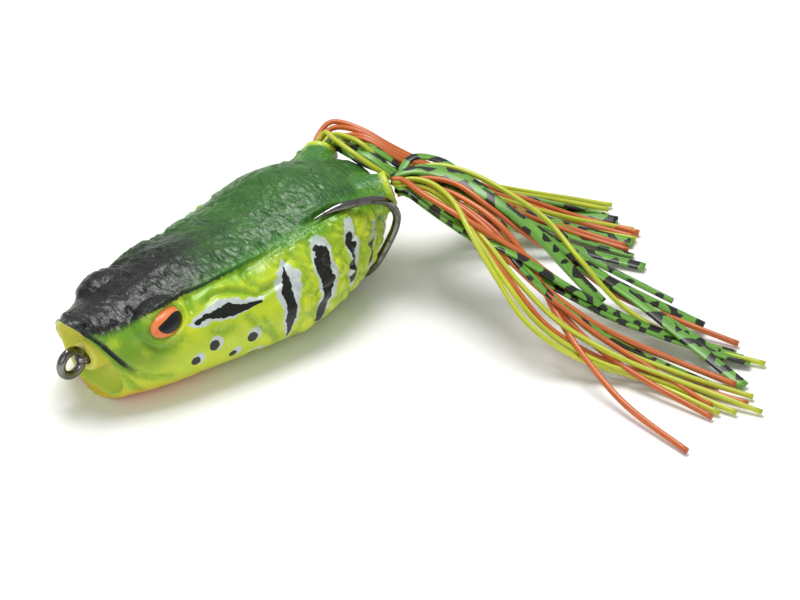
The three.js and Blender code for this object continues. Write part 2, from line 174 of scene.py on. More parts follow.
# ---- Materials: small helpers over shader nodes ----
class Shader:
    def __init__(self, name):
        self.material = bpy.data.materials.new(name)
        self.material.use_nodes = True
        self.tree = self.material.node_tree
        self.surface = self.tree.nodes["Principled BSDF"]
        place = self.node("ShaderNodeTexCoord").outputs["Object"]
        scaled = self.node("ShaderNodeVectorMath", operation="SCALE")
        self.tree.links.new(place, scaled.inputs[0])
        scaled.inputs["Scale"].default_value = 1 / MM
        self.place = scaled.outputs["Vector"]

    def node(self, kind, **settings):
        node = self.tree.nodes.new(kind)
        for key, value in settings.items():
            setattr(node, key, value)
        return node

    def put(self, socket, value):
        if isinstance(value, bpy.types.NodeSocket):
            self.tree.links.new(value, socket)
        else:
            socket.default_value = value

    def attribute(self, name, output="Fac"):
        return self.node("ShaderNodeAttribute", attribute_name=name).outputs[output]

    def math(self, operation, a, b=0.0):
        node = self.node("ShaderNodeMath", operation=operation)
        self.put(node.inputs[0], a)
        self.put(node.inputs[1], b)
        return node.outputs[0]

    def smooth(self, value, low, high):
        """0 below low, 1 above high, and a smooth step between; low may be the larger."""
        node = self.node("ShaderNodeMapRange", interpolation_type="SMOOTHSTEP")
        self.put(node.inputs["Value"], value)
        node.inputs["From Min"].default_value = low
        node.inputs["From Max"].default_value = high
        return node.outputs["Result"]

    def mix(self, factor, a, b):
        node = self.node("ShaderNodeMix", data_type="RGBA")
        self.put(node.inputs[0], factor)
        self.put(node.inputs[6], a)
        self.put(node.inputs[7], b)
        return node.outputs[2]

    def noise(self, scale, detail=2.0, stretch=None, vector=None, distortion=0.0):
        node = self.node("ShaderNodeTexNoise")
        node.inputs["Scale"].default_value = scale
        node.inputs["Detail"].default_value = detail
        node.inputs["Distortion"].default_value = distortion
        source = vector or self.place
        if stretch:
            times = self.node("ShaderNodeVectorMath", operation="MULTIPLY")
            self.tree.links.new(source, times.inputs[0])
            times.inputs[1].default_value = stretch
            source = times.outputs["Vector"]
        self.tree.links.new(source, node.inputs["Vector"])
        return node.outputs["Fac"]

    def node_up(self):
        """How far the surface looks up, from -1 to 1."""
        parts = self.node("ShaderNodeSeparateXYZ")
        self.tree.links.new(self.node("ShaderNodeNewGeometry").outputs["Normal"], parts.inputs[0])
        return parts.outputs["Z"]

    def bump(self, height, distance_mm, strength=1.0):
        node = self.node("ShaderNodeBump")
        node.inputs["Strength"].default_value = strength
        node.inputs["Distance"].default_value = distance_mm * MM
        self.put(node.inputs["Height"], height)
        self.tree.links.new(node.outputs["Normal"], self.surface.inputs["Normal"])

    def set(self, **values):
        for key, value in values.items():
            self.put(self.surface.inputs[key.replace("_", " ")], value)


def rgb(red, green, blue):
    """A colour from its everyday 0 to 255 values."""
    def linear(value):
        value /= 255
        return value / 12.92 if value <= 0.04045 else ((value + 0.055) / 1.055) ** 2.4
    return (linear(red), linear(green), linear(blue), 1)


# ---- Strand materials ----
def silicone(name, light, dark, bars=False):
    """Satin silicone rubber: faint streaks along the strand, and black bars on the green ones."""
    shader = Shader(name)
    strand = shader.attribute("strand", "Vector")
    streaks = shader.noise(1.0, 3, stretch=(0.12, 2.2, 7.0), vector=strand)
    blotches = shader.noise(1.0, 2, stretch=(0.25, 0.4, 11.0), vector=strand)
    color = shader.mix(shader.smooth(streaks, 0.3, 0.7), dark, light)
    color = shader.mix(shader.math("MULTIPLY", shader.smooth(blotches, 0.5, 0.8), 0.35), color, dark)
    if bars:
        ragged = shader.noise(1.0, 3, stretch=(1.6, 1.6, 5.0), vector=strand)
        pattern = shader.noise(1.0, 0, stretch=(0.42, 0.33, 13.0), vector=strand)
        ragged = shader.math("MULTIPLY", shader.math("SUBTRACT", ragged, 0.5), 0.10)
        pattern = shader.math("ADD", pattern, ragged)
        color = shader.mix(shader.smooth(pattern, 0.532, 0.55), color, rgb(17, 20, 13))
    specks = shader.noise(2.4, 2)
    color = shader.mix(shader.math("MULTIPLY", shader.smooth(specks, 0.66, 0.74), 0.5), color, dark)
    shader.set(Base_Color=color, Roughness=0.34, Subsurface_Weight=0.12, Coat_Weight=0.12)
    shader.set(Subsurface_Radius=(0.0012, 0.0010, 0.0004), Subsurface_Scale=1.0, Coat_Roughness=0.25)
    shader.bump(streaks, 0.05, 0.6)
    return shader.material


STRAND_LOOKS = {
    "O": ("orange_strand", silicone("orange_silicone", rgb(212, 116, 54), rgb(180, 86, 34))),
    "C": ("chartreuse_strand", silicone("chartreuse_silicone", rgb(204, 213, 60), rgb(168, 178, 36))),
    "G": ("barred_green_strand",
          silicone("barred_silicone", rgb(118, 174, 64), rgb(78, 136, 44), bars=True)),
}

# ---- Strands ----
# Each route is the one that part.mjs gives, in millimetres: a letter for the colour, then points
# from the collar to the free end. A scratch program worked the points out from places picked along
# each strand in the photograph.
LEFT_ROUTES = [
    ("G", [7.2, 62.4, 17.4], [8.3, 64.4, 18.1], [9.5, 67, 18.5], [13, 69.2, 18.5], [18.1, 70.4, 17.9],
     [24, 71.1, 15.9], [29.8, 73.2, 12.7], [35.1, 76.8, 9.3], [41, 80.9, 5.9], [49, 84.8, 2.7]),
    ("O", [8.5, 61.9, 16.8], [10.2, 63.9, 17.7], [13.1, 65.7, 18.6], [17.8, 67.3, 18.6], [23.8, 68.2, 16.6],
     [29.9, 70.7, 12.8], [36.3, 74.2, 9], [43.9, 76.7, 5.3], [51.7, 81.2, 2.4], [62.4, 85, 0.7]),
    ("C", [8.4, 62.5, 15.4], [9, 65.4, 16.6], [9.2, 69, 18], [14.4, 71.6, 18.2], [21.1, 73.8, 16.6],
     [29.1, 75.7, 13.5], [37.8, 74.8, 9.8], [46.9, 75, 5.1], [57, 78.1, 1.8], [68.9, 83.6, 0.7]),
    ("G", [7.9, 61.7, 18.1], [8.9, 63.2, 18.8], [10.3, 65, 19.2], [12.8, 67.3, 18.8], [16.8, 68.7, 18.3],
     [21.8, 69.4, 17.5], [27, 70.4, 15.7], [32.4, 71.3, 13.1], [37.8, 71.9, 9.7], [44.5, 72.4, 6]),
    ("G", [7.4, 62.8, 16.2], [6.9, 65.2, 17.6], [6.6, 68.6, 18.8], [10.8, 71.7, 17.9], [18.1, 69.9, 16.6],
     [26.3, 66.4, 14.5], [35.5, 64.1, 11.8], [45.1, 65.2, 7.3], [54.8, 69.3, 3], [67.6, 73.4, 0.7]),
    ("O", [9.7, 61.1, 16.8], [12.1, 63, 17.5], [15.9, 64, 17.5], [21.5, 63.7, 17], [28, 61.6, 14.8],
     [35.7, 60.6, 11.2], [43.8, 60.8, 6.5], [52.4, 64, 3], [61.6, 69.2, 1.2], [73.8, 73.2, 0.7]),
    ("C", [9, 61.1, 17.9], [11.3, 63.2, 18.7], [15, 64.2, 18.9], [20.6, 63.2, 18.4], [26.9, 60.7, 16.2],
     [34.3, 58.7, 12.3], [42.2, 57.7, 7.7], [50.5, 60.9, 3.6], [59.6, 66.1, 1.5], [72.2, 68.2, 0.7]),
    ("O", [9.4, 61.7, 15.7], [11.4, 64.1, 16.6], [14.8, 65.8, 17.4], [20.5, 66.4, 17.2], [27.5, 66.7, 15.5],
     [35, 66.1, 11.5], [42.9, 63.4, 7.4], [52, 60.4, 4.5], [62.2, 58.5, 1.7], [75, 57.2, 0.7]),
]
RIGHT_ROUTES = [
    ("C", [-8.5, 61.9, 16.8], [-8.9, 64.2, 18.2], [-5.9, 64.4, 19.4], [-1, 64.2, 19.7], [2.8, 66.9, 15.7],
     [5.2, 73, 12.4], [6, 80.3, 8.9], [7.7, 88, 5.4], [12, 95.6, 2.4], [20.1, 103.1, 0.7]),
    ("G", [-7.7, 61.9, 17.9], [-6.8, 63.2, 19.1], [-3.8, 62.4, 19.1], [0.8, 62.4, 17.8], [4.8, 66.4, 15.5],
     [7.9, 72, 13], [9.2, 78.6, 8.8], [11.5, 85.8, 4.9], [15.9, 93.2, 2.1], [24.3, 99.8, 0.7]),
    ("C", [-8.8, 61.2, 17.9], [-8.4, 62.6, 19.8], [-5, 61.7, 20.1], [0.2, 61.3, 19.5], [4.7, 64.2, 16.2],
     [8.3, 69.3, 11.9], [11.4, 76, 7.7], [14.8, 83.8, 4.3], [20.6, 91.1, 1.7], [30.3, 97.6, 0.7]),
    ("O", [-9.6, 61.2, 16.8], [-10.9, 63.5, 17.9], [-10.6, 66.4, 19.4], [-5.8, 68.1, 19.3],
     [-0.1, 70.2, 17.3], [4.2, 75.1, 13.4], [8, 81.3, 9.2], [12.7, 87.9, 5.4], [19.3, 94.1, 2.1],
     [29.4, 99.4, 0.7]),
    ("O", [-9.2, 61.9, 15.7], [-9.9, 64.2, 16.6], [-7.6, 65.8, 18], [-3.2, 67, 19.2], [2.1, 68.9, 17.2],
     [6.7, 73.2, 13.9], [10.7, 78.4, 9.9], [14.9, 84.3, 5.8], [21.1, 89.8, 2.5], [30.5, 94.6, 0.7]),
    ("G", [-8.1, 62.6, 15.7], [-7.9, 64.8, 16.3], [-5.1, 65.3, 17.8], [-0.5, 65.6, 18.9], [4.1, 67.8, 16.1],
     [7.7, 71.9, 11.4], [11.9, 77.8, 8.5], [17, 83.5, 5], [23.6, 88.8, 2], [33.5, 93.1, 0.7]),
    ("G", [-7.3, 62.6, 16.8], [-6.5, 64.2, 17.7], [-3.2, 63.8, 18.4], [1.4, 64.1, 18.3], [6.5, 66.3, 15.3],
     [10.3, 70.8, 12], [14.4, 76.3, 7.9], [20, 81.8, 4.4], [27.2, 87, 1.7], [37.1, 91.9, 0.7]),
]
# Strands that the CAD model leaves out, among the others.
LEFT_MORE = [
    ("G", [7.1, 62.9, 16.7], [7.7, 65.6, 17.5], [11.2, 67.3, 17.6], [16.3, 69.5, 17.1], [22.9, 71.3, 15.6],
     [30.5, 73.3, 12.6], [38.6, 75.5, 9], [47.8, 77, 5.9], [58, 77.2, 3.2], [70.4, 76.5, 0.7]),
    ("G", [7, 62.9, 16.8], [8.9, 64.5, 17.4], [11.8, 65.7, 17.3], [16, 67.2, 16.8], [21.3, 68.9, 15.8],
     [27.4, 71, 13.7], [33.5, 73.5, 10.5], [40, 76.7, 7.4], [47.1, 80.3, 4.4], [55.9, 84.3, 1.4]),
    ("O", [8.6, 61.3, 18.4], [10, 62.1, 18.6], [12.2, 61.9, 18.6], [15.3, 61.5, 18.4], [19.2, 61.6, 18],
     [23.8, 62.4, 16.9], [28.4, 63.9, 15.3], [33, 65.9, 13], [37.7, 67.9, 10.1], [43.5, 70.4, 6.8]),
    ("G", [9.9, 61, 17.1], [12.5, 61.5, 17.5], [15.9, 61.6, 16.9], [20.7, 61.9, 15.7], [26.7, 63, 14.5],
     [33.6, 65, 12.9], [40.3, 68, 9.5], [47.3, 71.9, 5.9], [54.7, 76.6, 3], [63.8, 82.7, 0.7]),
    ("C", [10, 61.2, 16.5], [12.5, 63, 17.3], [16.4, 63.5, 17.1], [22.1, 63.5, 16.3], [29, 62.5, 14.4],
     [36.9, 61.5, 11], [45.4, 62.1, 7.1], [54.6, 64.8, 4.2], [64.6, 68.6, 2.4], [76.7, 73, 0.7]),
    ("C", [9.9, 61.4, 16.1], [12.2, 63.3, 16.9], [15.7, 64.6, 16.5], [21, 66, 15.6], [27.5, 66.8, 13.7],
     [35.1, 66.5, 10.4], [43.3, 65.6, 6.9], [52.4, 66.7, 4.1], [61.9, 70.3, 2.1], [73.2, 75.2, 0.7]),
    ("O", [10, 61.2, 16.5], [12, 63.1, 17.3], [15.4, 63.7, 16.9], [20.4, 64.3, 16], [26.7, 64.2, 14.4],
     [33.9, 63.6, 11.9], [41.7, 64, 9], [50, 65.5, 5.6], [59, 67.3, 3], [70.3, 68.9, 0.7]),
    ("O", [9.5, 61.6, 16.2], [11.6, 63.6, 17], [15, 64.4, 17], [20.2, 65.2, 16.4], [26.5, 65.3, 14.7],
     [33.9, 64.6, 12], [41.7, 65.3, 8.7], [49.6, 68.1, 5.1], [58.4, 71.9, 2.6], [69.3, 75.9, 0.7]),
    ("G", [9.9, 61.1, 16.9], [12.6, 62.1, 17.4], [16, 62.4, 16.7], [21, 63, 15.5], [27.1, 63.7, 13.5],
     [34.3, 64.9, 11], [41.6, 67.8, 8.2], [49.1, 71.8, 5.1], [57.1, 76.5, 2.5], [67.2, 81.9, 0.7]),
]
RIGHT_MORE = [
    ("C", [-9.3, 61.5, 16.8], [-8, 63.4, 17.5], [-5.4, 65.1, 17.2], [-1.7, 67.5, 16.2], [2.4, 71.1, 14.5],
     [6.8, 75.6, 11.8], [10.8, 80.9, 8.4], [15.2, 86.7, 5.2], [20.6, 92.8, 2.5], [28, 99.6, 0.7]),
    ("G", [-7.8, 62.4, 17], [-6, 63.1, 17.6], [-3.2, 63.7, 17.1], [0.3, 65.5, 15.7], [3.4, 69.3, 13.9],
     [6, 74.6, 11.4], [8.3, 80.5, 8.7], [11, 86.8, 5.9], [15.1, 93, 3.3], [21.5, 99.7, 0.9]),
]

ROUND_RADIUS = 0.47
RIBBON_HALF_WIDTH = 0.95
RIBBON_HALF_THICKNESS = 0.3
STRAND_RINGS = 72


def between(first, second, share, lift=0.0):
    """A route part of the way from one strand to its neighbour."""
    a, b = np.array(first[1:], float), np.array(second[1:], float)
    middle = a * (1 - share) + b * share
    middle[1:-2, 2] += lift
    return (first[0], *middle)


LEFT_MORE += [
    between(LEFT_MORE[0], LEFT_MORE[1], 0.45, -0.5),
    between(LEFT_ROUTES[6], LEFT_MORE[4], 0.4, -0.4),
    between(LEFT_ROUTES[7], LEFT_MORE[7], 0.5, -0.5),
    between(LEFT_MORE[3], LEFT_MORE[8], 0.5, -0.6),
]
RIGHT_MORE += [
    between(RIGHT_ROUTES[3], RIGHT_ROUTES[4], 0.35, -0.1),
    between(RIGHT_ROUTES[4], RIGHT_ROUTES[5], 0.4, 0.1),
    between(RIGHT_ROUTES[5], RIGHT_MORE[0], 0.5, 0.2),
    between(RIGHT_ROUTES[0], RIGHT_MORE[1], 0.5, -0.3),
]


def make_strand(name, body, route, seed, replaced=None):
    draw = random.Random(seed)
    letter, *points = route
    slot, material = STRAND_LOOKS[letter]
    line = smooth_curve(points, STRAND_RINGS)
    share = np.linspace(0, 1, STRAND_RINGS)
    if letter == "G":
        outline = round_outline(12, 3.2)
        opened = 0.55 + 0.45 * np.clip(share / 0.14, 0, 1) ** 0.7
        widths = RIBBON_HALF_WIDTH * opened
        heights = RIBBON_HALF_THICKNESS * (2 - opened)
        twist = math.radians(draw.uniform(-12, 12)) + math.radians(draw.uniform(-35, 35)) * share
    else:
        outline = round_outline(10, 2.3)
        radius = ROUND_RADIUS * (1 + 0.05 * np.sin(share * 23 + seed))
        widths = radius * (1.06 if letter == "O" else 0.92)
        heights = radius * 0.94
        twist = share * draw.uniform(-2, 2)
    skin = sweep(line, outline, widths, heights, twist)
    sides = len(outline)
    strand = mesh_object(name, to_frame(skin.reshape(-1, 3)), ring_faces(STRAND_RINGS, sides), material)
    along = np.repeat(share * length_of(line), sides)
    across = np.tile(outline[:, 0], STRAND_RINGS)
    add_vectors(strand, "strand", np.stack([along, across, np.full(len(along), seed * 1.0)], 1))
    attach(strand, body)
    if replaced:
        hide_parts(replaced)


for side_name, routes, more in (("left", LEFT_ROUTES, LEFT_MORE), ("right", RIGHT_ROUTES, RIGHT_MORE)):
    for index, strand_route in enumerate(routes + more, 1):
        in_cad = f"{side_name}_strand_{index}" if index <= len(routes) else None
        strand_seed = index + (0 if side_name == "left" else 50)
        strand_name = f"{side_name}_silicone_{index:02d}"
        make_strand(strand_name, f"{side_name}_leg", strand_route, strand_seed, in_cad)


# ---- Body: the same sections as part.mjs ----
# [distance from the lip, half width, top, bottom, height of the widest place, chin set-back, side set-back,
#  roundness of the back]
BODY_SECTIONS = np.array([
    [0, 7.4, 15.1, 0.1, 6.8, 4.3, 3.1, 1.7],
    [3, 8.3, 14.8, 0.1, 7.0, 3.3, 2.2, 1.75],
    [8, 9.7, 14.9, 0, 7.4, 1.7, 0.8, 1.85],
    [14, 11.3, 15.9, 0, 7.7, 0.3, 0, 1.85],
    [22, 13.1, 17.2, 0, 8.3, 0, 0, 1.85],
    [30, 14.5, 17.1, 0, 7.7, 0, 0, 1.8],
    [38, 15.0, 18.1, 0.2, 8.1, 0, 0, 1.9],
    [46, 14.2, 20.5, 0.9, 10.0, 0, 0, 2.1],
    [53, 12.2, 20.2, 2.4, 10.5, 0, 0, 2.1],
    [59, 8.7, 18.7, 5.0, 11.5, 0, 0, 2.1],
    [62, 5.8, 17.3, 8.0, 12.0, 0, 0, 2.1],
    [63.2, 2.6, 15.4, 10.0, 12.6, 0, 0, 2.1],
])
BELLY_POWER = 2.5
WALL = 1.6
CHIN_CURVE = 1.5
SIDE_CURVE = 1.1
BELLY_FLAT = 0.25
VOXEL = 0.24
# The scooped mouth: how far behind the lip, and how far in from the skin
CUP_PROFILE = [
    (-2.5, -0.3), (0, 0.5), (0.8, 0.75), (1.6, 1.0), (3.4, 1.8), (4.6, 2.7), (5.3, 3.6), (5.6, 4.6),
]
BODY_END = BODY_SECTIONS[-1, 0]
LEG_MOUTH = np.array([8.2, 61.5, 16.6])
LEG_DIRECTION = np.array([0.5, 0.8, 0.33]) / np.linalg.norm([0.5, 0.8, 0.33])


def section_at(distance):
    """Rows of section values at many distances, by the curve that part.mjs uses."""
    distance = np.clip(distance, 0, BODY_END)
    rows = BODY_SECTIONS
    index = np.clip(np.searchsorted(rows[:, 0], distance, side="left") - 1, 0, len(rows) - 2)
    before = np.maximum(np.arange(len(rows)) - 1, 0)
    after = np.minimum(np.arange(len(rows)) + 1, len(rows) - 1)
    slopes = (rows[after] - rows[before]) / (rows[after, :1] - rows[before, :1])
    span = (rows[index + 1, 0] - rows[index, 0])[:, None]
    t = (distance[:, None] - rows[index, :1]) / span
    return ((2 * t**3 - 3 * t**2 + 1) * rows[index] + (t**3 - 2 * t**2 + t) * span * slopes[index]
            + (3 * t**2 - 2 * t**3) * rows[index + 1] + (t**3 - t**2) * span * slopes[index + 1])


def body_ring(distance, sides, inset=0.0, depth=0.0, lower=0.0):
    section = section_at(np.array([float(distance)]))[0]
    half_width, top, bottom, side, chin_back, side_back, round_back = section[1:]
    angle = 2 * math.pi * (np.arange(sides) + 0.5) / sides
    upper = np.sin(angle) >= 0
    power = np.where(upper, round_back, BELLY_POWER)
    reach = np.where(upper, top - side - inset, side - bottom - inset + lower)
    x = (half_width - inset) * np.sign(np.cos(angle)) * abs(np.cos(angle)) ** (2 / power)
    z = side + reach * np.sign(np.sin(angle)) * abs(np.sin(angle)) ** (2 / power)
    drop = np.maximum((top - z) / (top - bottom), 0)
    y = distance + depth + chin_back * drop**CHIN_CURVE + side_back * abs(x / half_width) ** SIDE_CURVE
    return np.stack([x, y, z], 1)


def depth_inside(points):
    """Roughly how far points lie under the outer skin, in millimetres; negative outside."""
    x, y, z = points.T
    distance = y.copy()
    for _ in range(4):
        section = section_at(distance)
        drop = np.clip((section[:, 2] - z) / (section[:, 2] - section[:, 3]), 0, 1)
        distance = y - section[:, 5] * drop**CHIN_CURVE
        distance -= section[:, 6] * np.clip(abs(x) / section[:, 1], 0, 1) ** SIDE_CURVE
    section = section_at(distance)
    upper = z > section[:, 4]
    reach = np.where(upper, section[:, 2] - section[:, 4], section[:, 4] - section[:, 3])
    power = np.where(upper, section[:, 7], BELLY_POWER)
    ratio = (abs(x / section[:, 1]) ** power + abs((z - section[:, 4]) / reach) ** power) ** (1 / power)
    return (1 - ratio) * np.minimum(section[:, 1], reach)


def loft_shape(rings):
    return np.vstack(rings), ring_faces(len(rings), len(rings[0]))


def lathe_shape(profile, sides, place, direction):
    """A profile of (radius, height) turned about a direction through a place."""
    direction = np.asarray(direction, float)
    first = unit(np.cross(direction, (0, 0, 1)))
    second = np.cross(first, direction)
    angles = 2 * math.pi * np.arange(sides) / sides
    around = np.outer(np.cos(angles), first) + np.outer(np.sin(angles), second)
    place = np.asarray(place)
    rings = [place + around * max(radius, 0.01) + direction * height for radius, height in profile]
    return loft_shape(rings)


def ball_shape(centre, radii, rings=24, sides=36):
    turns = np.linspace(-math.pi / 2, math.pi / 2, rings)
    angles = 2 * math.pi * np.arange(sides) / sides
    layers = []
    for turn in turns:
        wide = max(math.cos(turn), 0.005)
        ring = np.stack([np.cos(angles) * wide, np.sin(angles) * wide, np.full(sides, math.sin(turn))], 1)
        layers.append(np.asarray(centre) + ring * radii)
    return loft_shape(layers)


def merge_shapes(shapes):
    points, faces, count = [], [], 0
    for vertices, polygons in shapes:
        points.append(vertices)
        faces += [tuple(i + count for i in polygon) for polygon in polygons]
        count += len(vertices)
    return np.vstack(points), faces


def mirrored_shape(shape):
    vertices, polygons = shape
    return vertices * (-1, 1, 1), [tuple(reversed(polygon)) for polygon in polygons]


def both_sides(shape):
    return merge_shapes([shape, mirrored_shape(shape)])


def outward(piece):
    """Makes a working object's faces look out."""
    work = bmesh.new()
    work.from_mesh(piece.data)
    bmesh.ops.recalc_face_normals(work, faces=work.faces)
    work.to_mesh(piece.data)
    work.free()


def working(shape):
    piece = mesh_object("working", *shape)
    outward(piece)
    return piece


def bake_modifiers(piece):
    evaluated = piece.evaluated_get(bpy.context.evaluated_depsgraph_get())
    mesh = bpy.data.meshes.new_from_object(evaluated)
    piece.modifiers.clear()
    piece.data = mesh


def boolean(piece, shape):
    """Cuts a shape out of a working object."""
    tool = working(shape)
    modifier = piece.modifiers.new("boolean", "BOOLEAN")
    modifier.operation = "DIFFERENCE"
    modifier.solver = "MANIFOLD"
    modifier.object = tool
    bake_modifiers(piece)
    bpy.data.objects.remove(tool)


def remesh(piece, voxel):
    modifier = piece.modifiers.new("remesh", "REMESH")
    modifier.mode = "VOXEL"
    modifier.voxel_size = voxel
    bake_modifiers(piece)


def points_of(piece):
    values = np.empty(len(piece.data.vertices) * 3)
    piece.data.vertices.foreach_get("co", values)
    return values.reshape(-1, 3)


def normals_of(piece):
    values = np.empty(len(piece.data.vertices) * 3)
    piece.data.vertices.foreach_get("normal", values)
    return values.reshape(-1, 3)


def set_points(piece, points):
    piece.data.vertices.foreach_set("co", np.asarray(points, float).ravel())
    piece.data.update()


def relax(piece, rounds, share=0.5):
    """Evens a mesh out, each point moving towards the middle of its neighbours."""
    edges = np.empty(len(piece.data.edges) * 2, int)
    piece.data.edges.foreach_get("vertices", edges)
    a, b = edges.reshape(-1, 2).T
    points = points_of(piece)
    count = np.bincount(a, minlength=len(points)) + np.bincount(b, minlength=len(points))
    for _ in range(rounds):
        total = np.zeros_like(points)
        for axis in range(3):
            total[:, axis] = (np.bincount(a, points[b, axis], len(points))
                              + np.bincount(b, points[a, axis], len(points)))
        points += share * (total / count[:, None] - points)
    set_points(piece, points)


# ---- Measures over the skin, used for relief and for paint ----
def smooth_step(value, low, high):
    t = np.clip((value - low) / (high - low), 0, 1)
    return t * t * (3 - 2 * t)


def folded(points):
    """Both flanks measured as the left one."""
    return np.stack([abs(points[:, 0]), points[:, 1], points[:, 2]], 1)


def distance_to_line(points, line):
    """Distance to a route, and how far along it the nearest place is, from 0 to 1."""
    line = np.asarray(line, float)
    best = np.full(len(points), 1e9)
    where = np.zeros(len(points))
    for i in range(len(line) - 1):
        step = line[i + 1] - line[i]
        t = np.clip(((points - line[i]) @ step) / max(step @ step, 1e-9), 0, 1)
        away = np.linalg.norm(points - line[i] - t[:, None] * step, axis=1)
        closer = away < best
        best = np.where(closer, away, best)
        where = np.where(closer, (i + t) / (len(line) - 1), where)
    return best, where


def noise_at(points, size, seed=0.0):
    """Soft noise from -1 to 1 with features of about a given size in millimetres."""
    shift = Vector((seed * 7.3, seed * 3.1, seed * 5.7))
    return np.array([noise.noise(Vector(p) + shift) for p in points / size])


def pebbles(points, spacing, seed, stretch=(1, 1, 1)):
    """Rounded bumps from 0 to 1, and the creases between them from 0 to 1."""
    scaled = points / spacing * stretch
    cells = np.unique(np.floor(scaled).astype(int), axis=0)
    random_spots = np.random.default_rng(seed).uniform(0.15, 0.85, cells.shape)
    spots = cells + random_spots
    tree = KDTree(len(spots))
    for i, spot in enumerate(spots):
        tree.insert(spot, i)
    tree.balance()
    near = np.array([[found[2] for found in tree.find_n(p, 2)] for p in scaled])
    bumps = np.clip(1 - (near[:, 0] / 0.85) ** 2, 0, 1)
    creases = np.clip(1 - (near[:, 1] - near[:, 0]) / 0.28, 0, 1)
    return bumps, creases


# The line where the dark back meets the flank, from nose to tail: [y, x, z]
BACK_EDGE = np.array([
    [0, 4.6, 13.2], [1.5, 3.9, 13.4], [3.1, 3.8, 13.5], [4.4, 4.5, 13.2], [8.0, 5.2, 13.4],
    [10.3, 6.8, 14.7], [13.8, 7.4, 15.1], [18, 6.8, 14.9], [20.2, 7.3, 15.1], [28.2, 7.6, 15.3],
    [34.9, 7.9, 15.8], [40.6, 8.7, 16.9], [47.8, 8.9, 18.3], [55, 8.8, 17.5], [60, 9.1, 17.5], [66, 10.5, 19],
])
RIGHT_BACK_WIDER = 4.6


def above_back_edge(points):
    """Distance in from the edge of the dark back; negative down the flank. It reaches further right."""
    x, y, z = points.T
    wider = RIGHT_BACK_WIDER * (x < 0) * smooth_step(y, 4, 12) * (1 - smooth_step(y, 47, 55))
    edge_x = np.interp(y, BACK_EDGE[:, 0], BACK_EDGE[:, 1])
    edge_z = np.interp(y, BACK_EDGE[:, 0], BACK_EDGE[:, 2])
    return 0.62 * (edge_x - abs(x)) + 0.78 * (z - edge_z) + wider


EYE_CENTRE = (13.1, 13.2)
EYE_LONG = np.array([2.78, -0.22])
EYE_TALL = np.array([1.1, 1.63])
RIGHT_EYE_LOWER = 1.1


def eye_coordinates(points):
    """Places in the eye along its long and its tall radius, both 1 at its edge."""
    dy = points[:, 1] - EYE_CENTRE[0]
    dz = points[:, 2] - EYE_CENTRE[1] + RIGHT_EYE_LOWER * (points[:, 0] < 0)
    size = EYE_LONG[0] * EYE_TALL[1] - EYE_LONG[1] * EYE_TALL[0]
    along = (EYE_TALL[1] * dy - EYE_TALL[0] * dz) / size
    up = (EYE_LONG[0] * dz - EYE_LONG[1] * dy) / size
    far = abs(points[:, 0]) < 6.5
    return np.where(far, 9, along), np.where(far, 9, up)


def on_socket(points):
    """Distance along a leg socket past its mouth, and out from its middle, on either side."""
    away = folded(points) - LEG_MOUTH
    along = away @ LEG_DIRECTION
    out = np.linalg.norm(away - along[:, None] * LEG_DIRECTION, axis=1)
    return along, out


def in_cup(points):
    """1 on the scooped inside of the mouth, 0 elsewhere."""
    x, y, z = points.T
    _, half_width, top, bottom, side_height, chin_back, side_back, round_back = BODY_SECTIONS[0]
    drop = np.clip((top - z) / (top - bottom), 0, 1)
    depth = y - chin_back * drop**CHIN_CURVE - side_back * np.clip(abs(x) / half_width, 0, 1) ** SIDE_CURVE
    upper = z > side_height
    reach = np.where(upper, top - side_height, side_height - bottom)
    power = np.where(upper, round_back, BELLY_POWER)
    ratio = (abs(x / half_width) ** power + abs((z - side_height) / reach) ** power) ** (1 / power)
    inset = np.interp(depth, *np.array(CUP_PROFILE).T)
    within = (1 - ratio) * np.minimum(half_width, reach) - inset
    return smooth_step(within, -0.28, -0.05) * (depth < CUP_PROFILE[-1][0] + 1)


# Creases moulded in the flank: [route, depth, width]
LIP_CREASE = [[0.4, 0.7, 14.9], [1.8, 1.3, 14.6], [3.6, 2.2, 13.6], [5.2, 3.2, 12.2], [6.8, 4.4, 10.1],
              [7.9, 5.8, 8.1], [8.8, 7.6, 6.4], [9.5, 9.5, 5.4], [10.3, 11.9, 5.0]]
CREASES = [
    (LIP_CREASE, 0.38, 0.55),
    ([[7.5, 5.1, 6.5], [7.8, 6.4, 4.7], [7.5, 8.3, 2.5]], 0.3, 0.5),
    ([[8.0, 8.8, 12.3], [8.8, 9.5, 11.0], [9.7, 10.7, 10.0], [10.4, 12.6, 9.8],
      [10.8, 14.9, 10.6]], 0.25, 0.55),
    ([[6.9, 18.5, 15.0], [8.1, 18.0, 14.2], [9.3, 17.5, 13.2]], 0.4, 0.5),
    ([[9.4, 20.0, 13.7], [9.2, 22.3, 14.3], [9.9, 24.8, 14.0], [10.9, 27.0, 13.2], [11.9, 28.7, 12.4],
      [12.2, 31.4, 12.4]], 0.42, 0.6),
    ([[7.9, 29.7, 15.2], [8.7, 28.7, 14.7], [10.3, 28.6, 13.7], [11.6, 30.0, 12.8], [12.0, 32.3, 12.7],
      [12.0, 34.2, 13.1]], 0.4, 0.55),
    ([[13.3, 25.6, 10.6], [13.9, 26.7, 9.0], [14.3, 28.9, 6.9], [14.1, 30.6, 4.8]], 0.3, 0.5),
    ([[14.0, 28.1, 9.3], [14.4, 29.4, 7.0], [13.7, 30.7, 4.2]], 0.25, 0.45),
    ([[11.8, 19.5, 10.2], [12.3, 21.0, 9.6], [12.6, 22.5, 9.9]], 0.16, 0.6),
]
